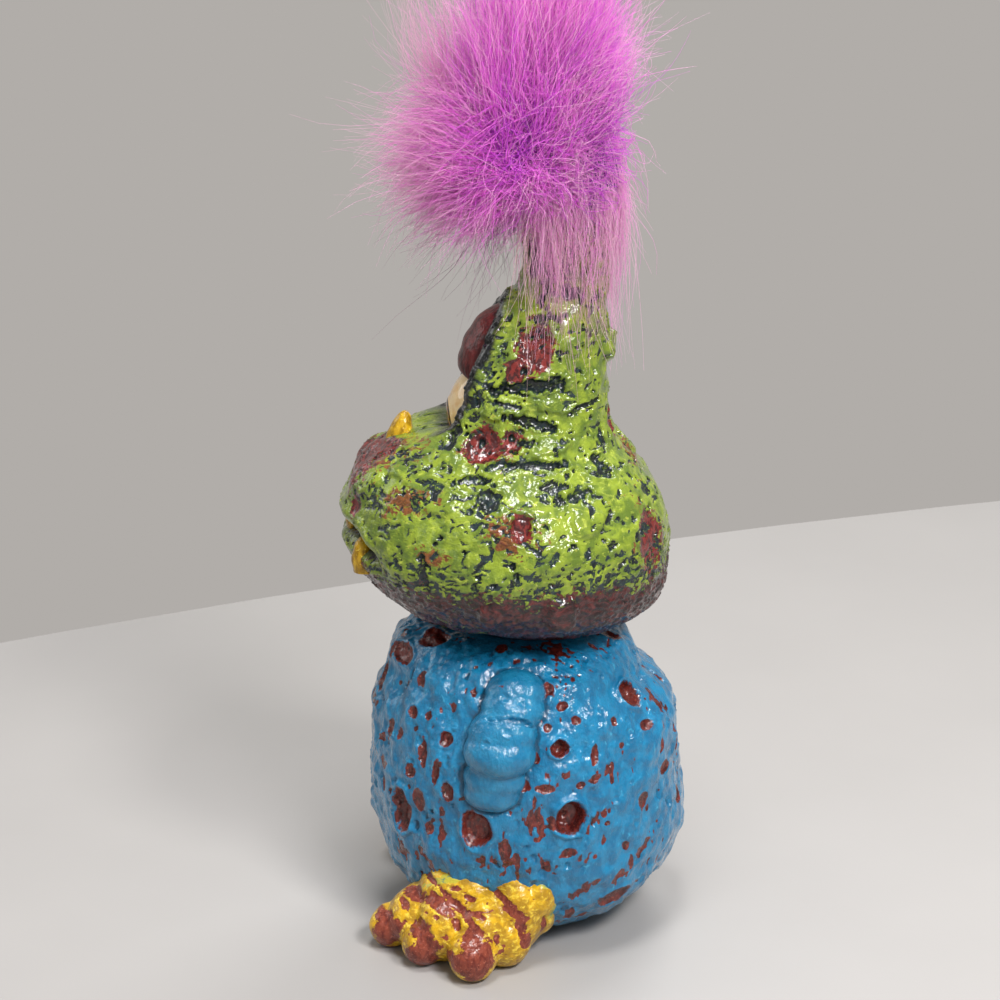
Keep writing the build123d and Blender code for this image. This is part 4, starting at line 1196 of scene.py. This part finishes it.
# Lights: name, place, width, power, colour, and the height they point at
LIGHTS = (
    ("key_light", (0.46, 0.34, 0.66), 0.16, 3.7, (1.0, 0.98, 0.95), 0.1),
    ("top_light", (0.16, -0.02, 0.85), 0.22, 3.6, (1.0, 1.0, 1.0), 0.1),
    ("fill_light", (0.75, -0.65, 0.5), 0.4, 0.5, (0.94, 0.97, 1.0), 0.1),
    ("fur_light", (0.40, 0.16, 0.42), 0.16, 1.7, (1.0, 0.97, 1.0), 0.19),
    ("front_light", (-0.35, -0.8, 0.5), 0.5, 1.3, (1.0, 1.0, 1.0), 0.1),
    ("back_light", (-0.5, 0.25, 0.8), 0.4, 4.0, (1.0, 1.0, 1.0), 0.1),
)


def make_stage():
    """A round pale table top and a plain wall far behind it."""
    rim = level_rings(TABLE_RADIUS, 0.0, 180) + (*TABLE_MIDDLE, 0.0)
    table = new_mesh("table_top", rim, [np.arange(180)[None, :]])
    look = Look("table_pale", roughness=0.45)
    table.data.materials.append(look.done(look.blend(look.grain(60, 3), "#a3a19f", "#aaa8a6")))
    corners = ((-1, -1), (1, -1), (1, 1), (-1, 1))
    corners = np.array([(WALL_PLACE, WALL_HALF * across, WALL_HALF * up) for across, up in corners])
    wall = new_mesh("wall", corners, [np.array([[0, 1, 2, 3]])])
    look = Look("wall_grey", roughness=1.0)
    look.shader.inputs["Emission Strength"].default_value = 0.95
    look.join("#b1ada9", look.shader.inputs["Emission Color"])
    wall.data.materials.append(look.done("#302f2e"))


def make_light(name, place, size, power, colour, aim):
    lamp = bpy.data.lights.new(name, "AREA")
    lamp.shape = "DISK"
    lamp.size = size
    lamp.energy = power
    lamp.color = colour
    made = bpy.data.objects.new(name, lamp)
    bpy.context.scene.collection.objects.link(made)
    made.location = Vector(place)
    made.rotation_euler = (Vector((0, 0, aim)) - made.location).to_track_quat("-Z", "Y").to_euler()


make_stage()
for light in LIGHTS:
    make_light(*light)

world = bpy.data.worlds.new("studio")
world.use_nodes = True
backdrop = world.node_tree.nodes["Background"]
backdrop.inputs["Color"].default_value = linear("#b6b2ae")
backdrop.inputs["Strength"].default_value = 0.76
bpy.context.scene.world = world

camera = bpy.data.cameras.new("camera")
camera.sensor_width = SENSOR_WIDTH
camera.lens = SENSOR_WIDTH * VIEW_FOCAL / 1000
camera.clip_start = 0.01
camera.clip_end = 20.0
viewer = bpy.data.objects.new("camera", camera)
bpy.context.scene.collection.objects.link(viewer)
viewer.location = Vector(VIEW_PLACE * MM)
viewer.rotation_mode = "QUATERNION"
viewer.rotation_quaternion = Vector(-VIEW_BACK).to_track_quat("-Z", "Y")
bpy.context.scene.camera = viewer
bpy.context.scene.view_settings.view_transform = "Standard"
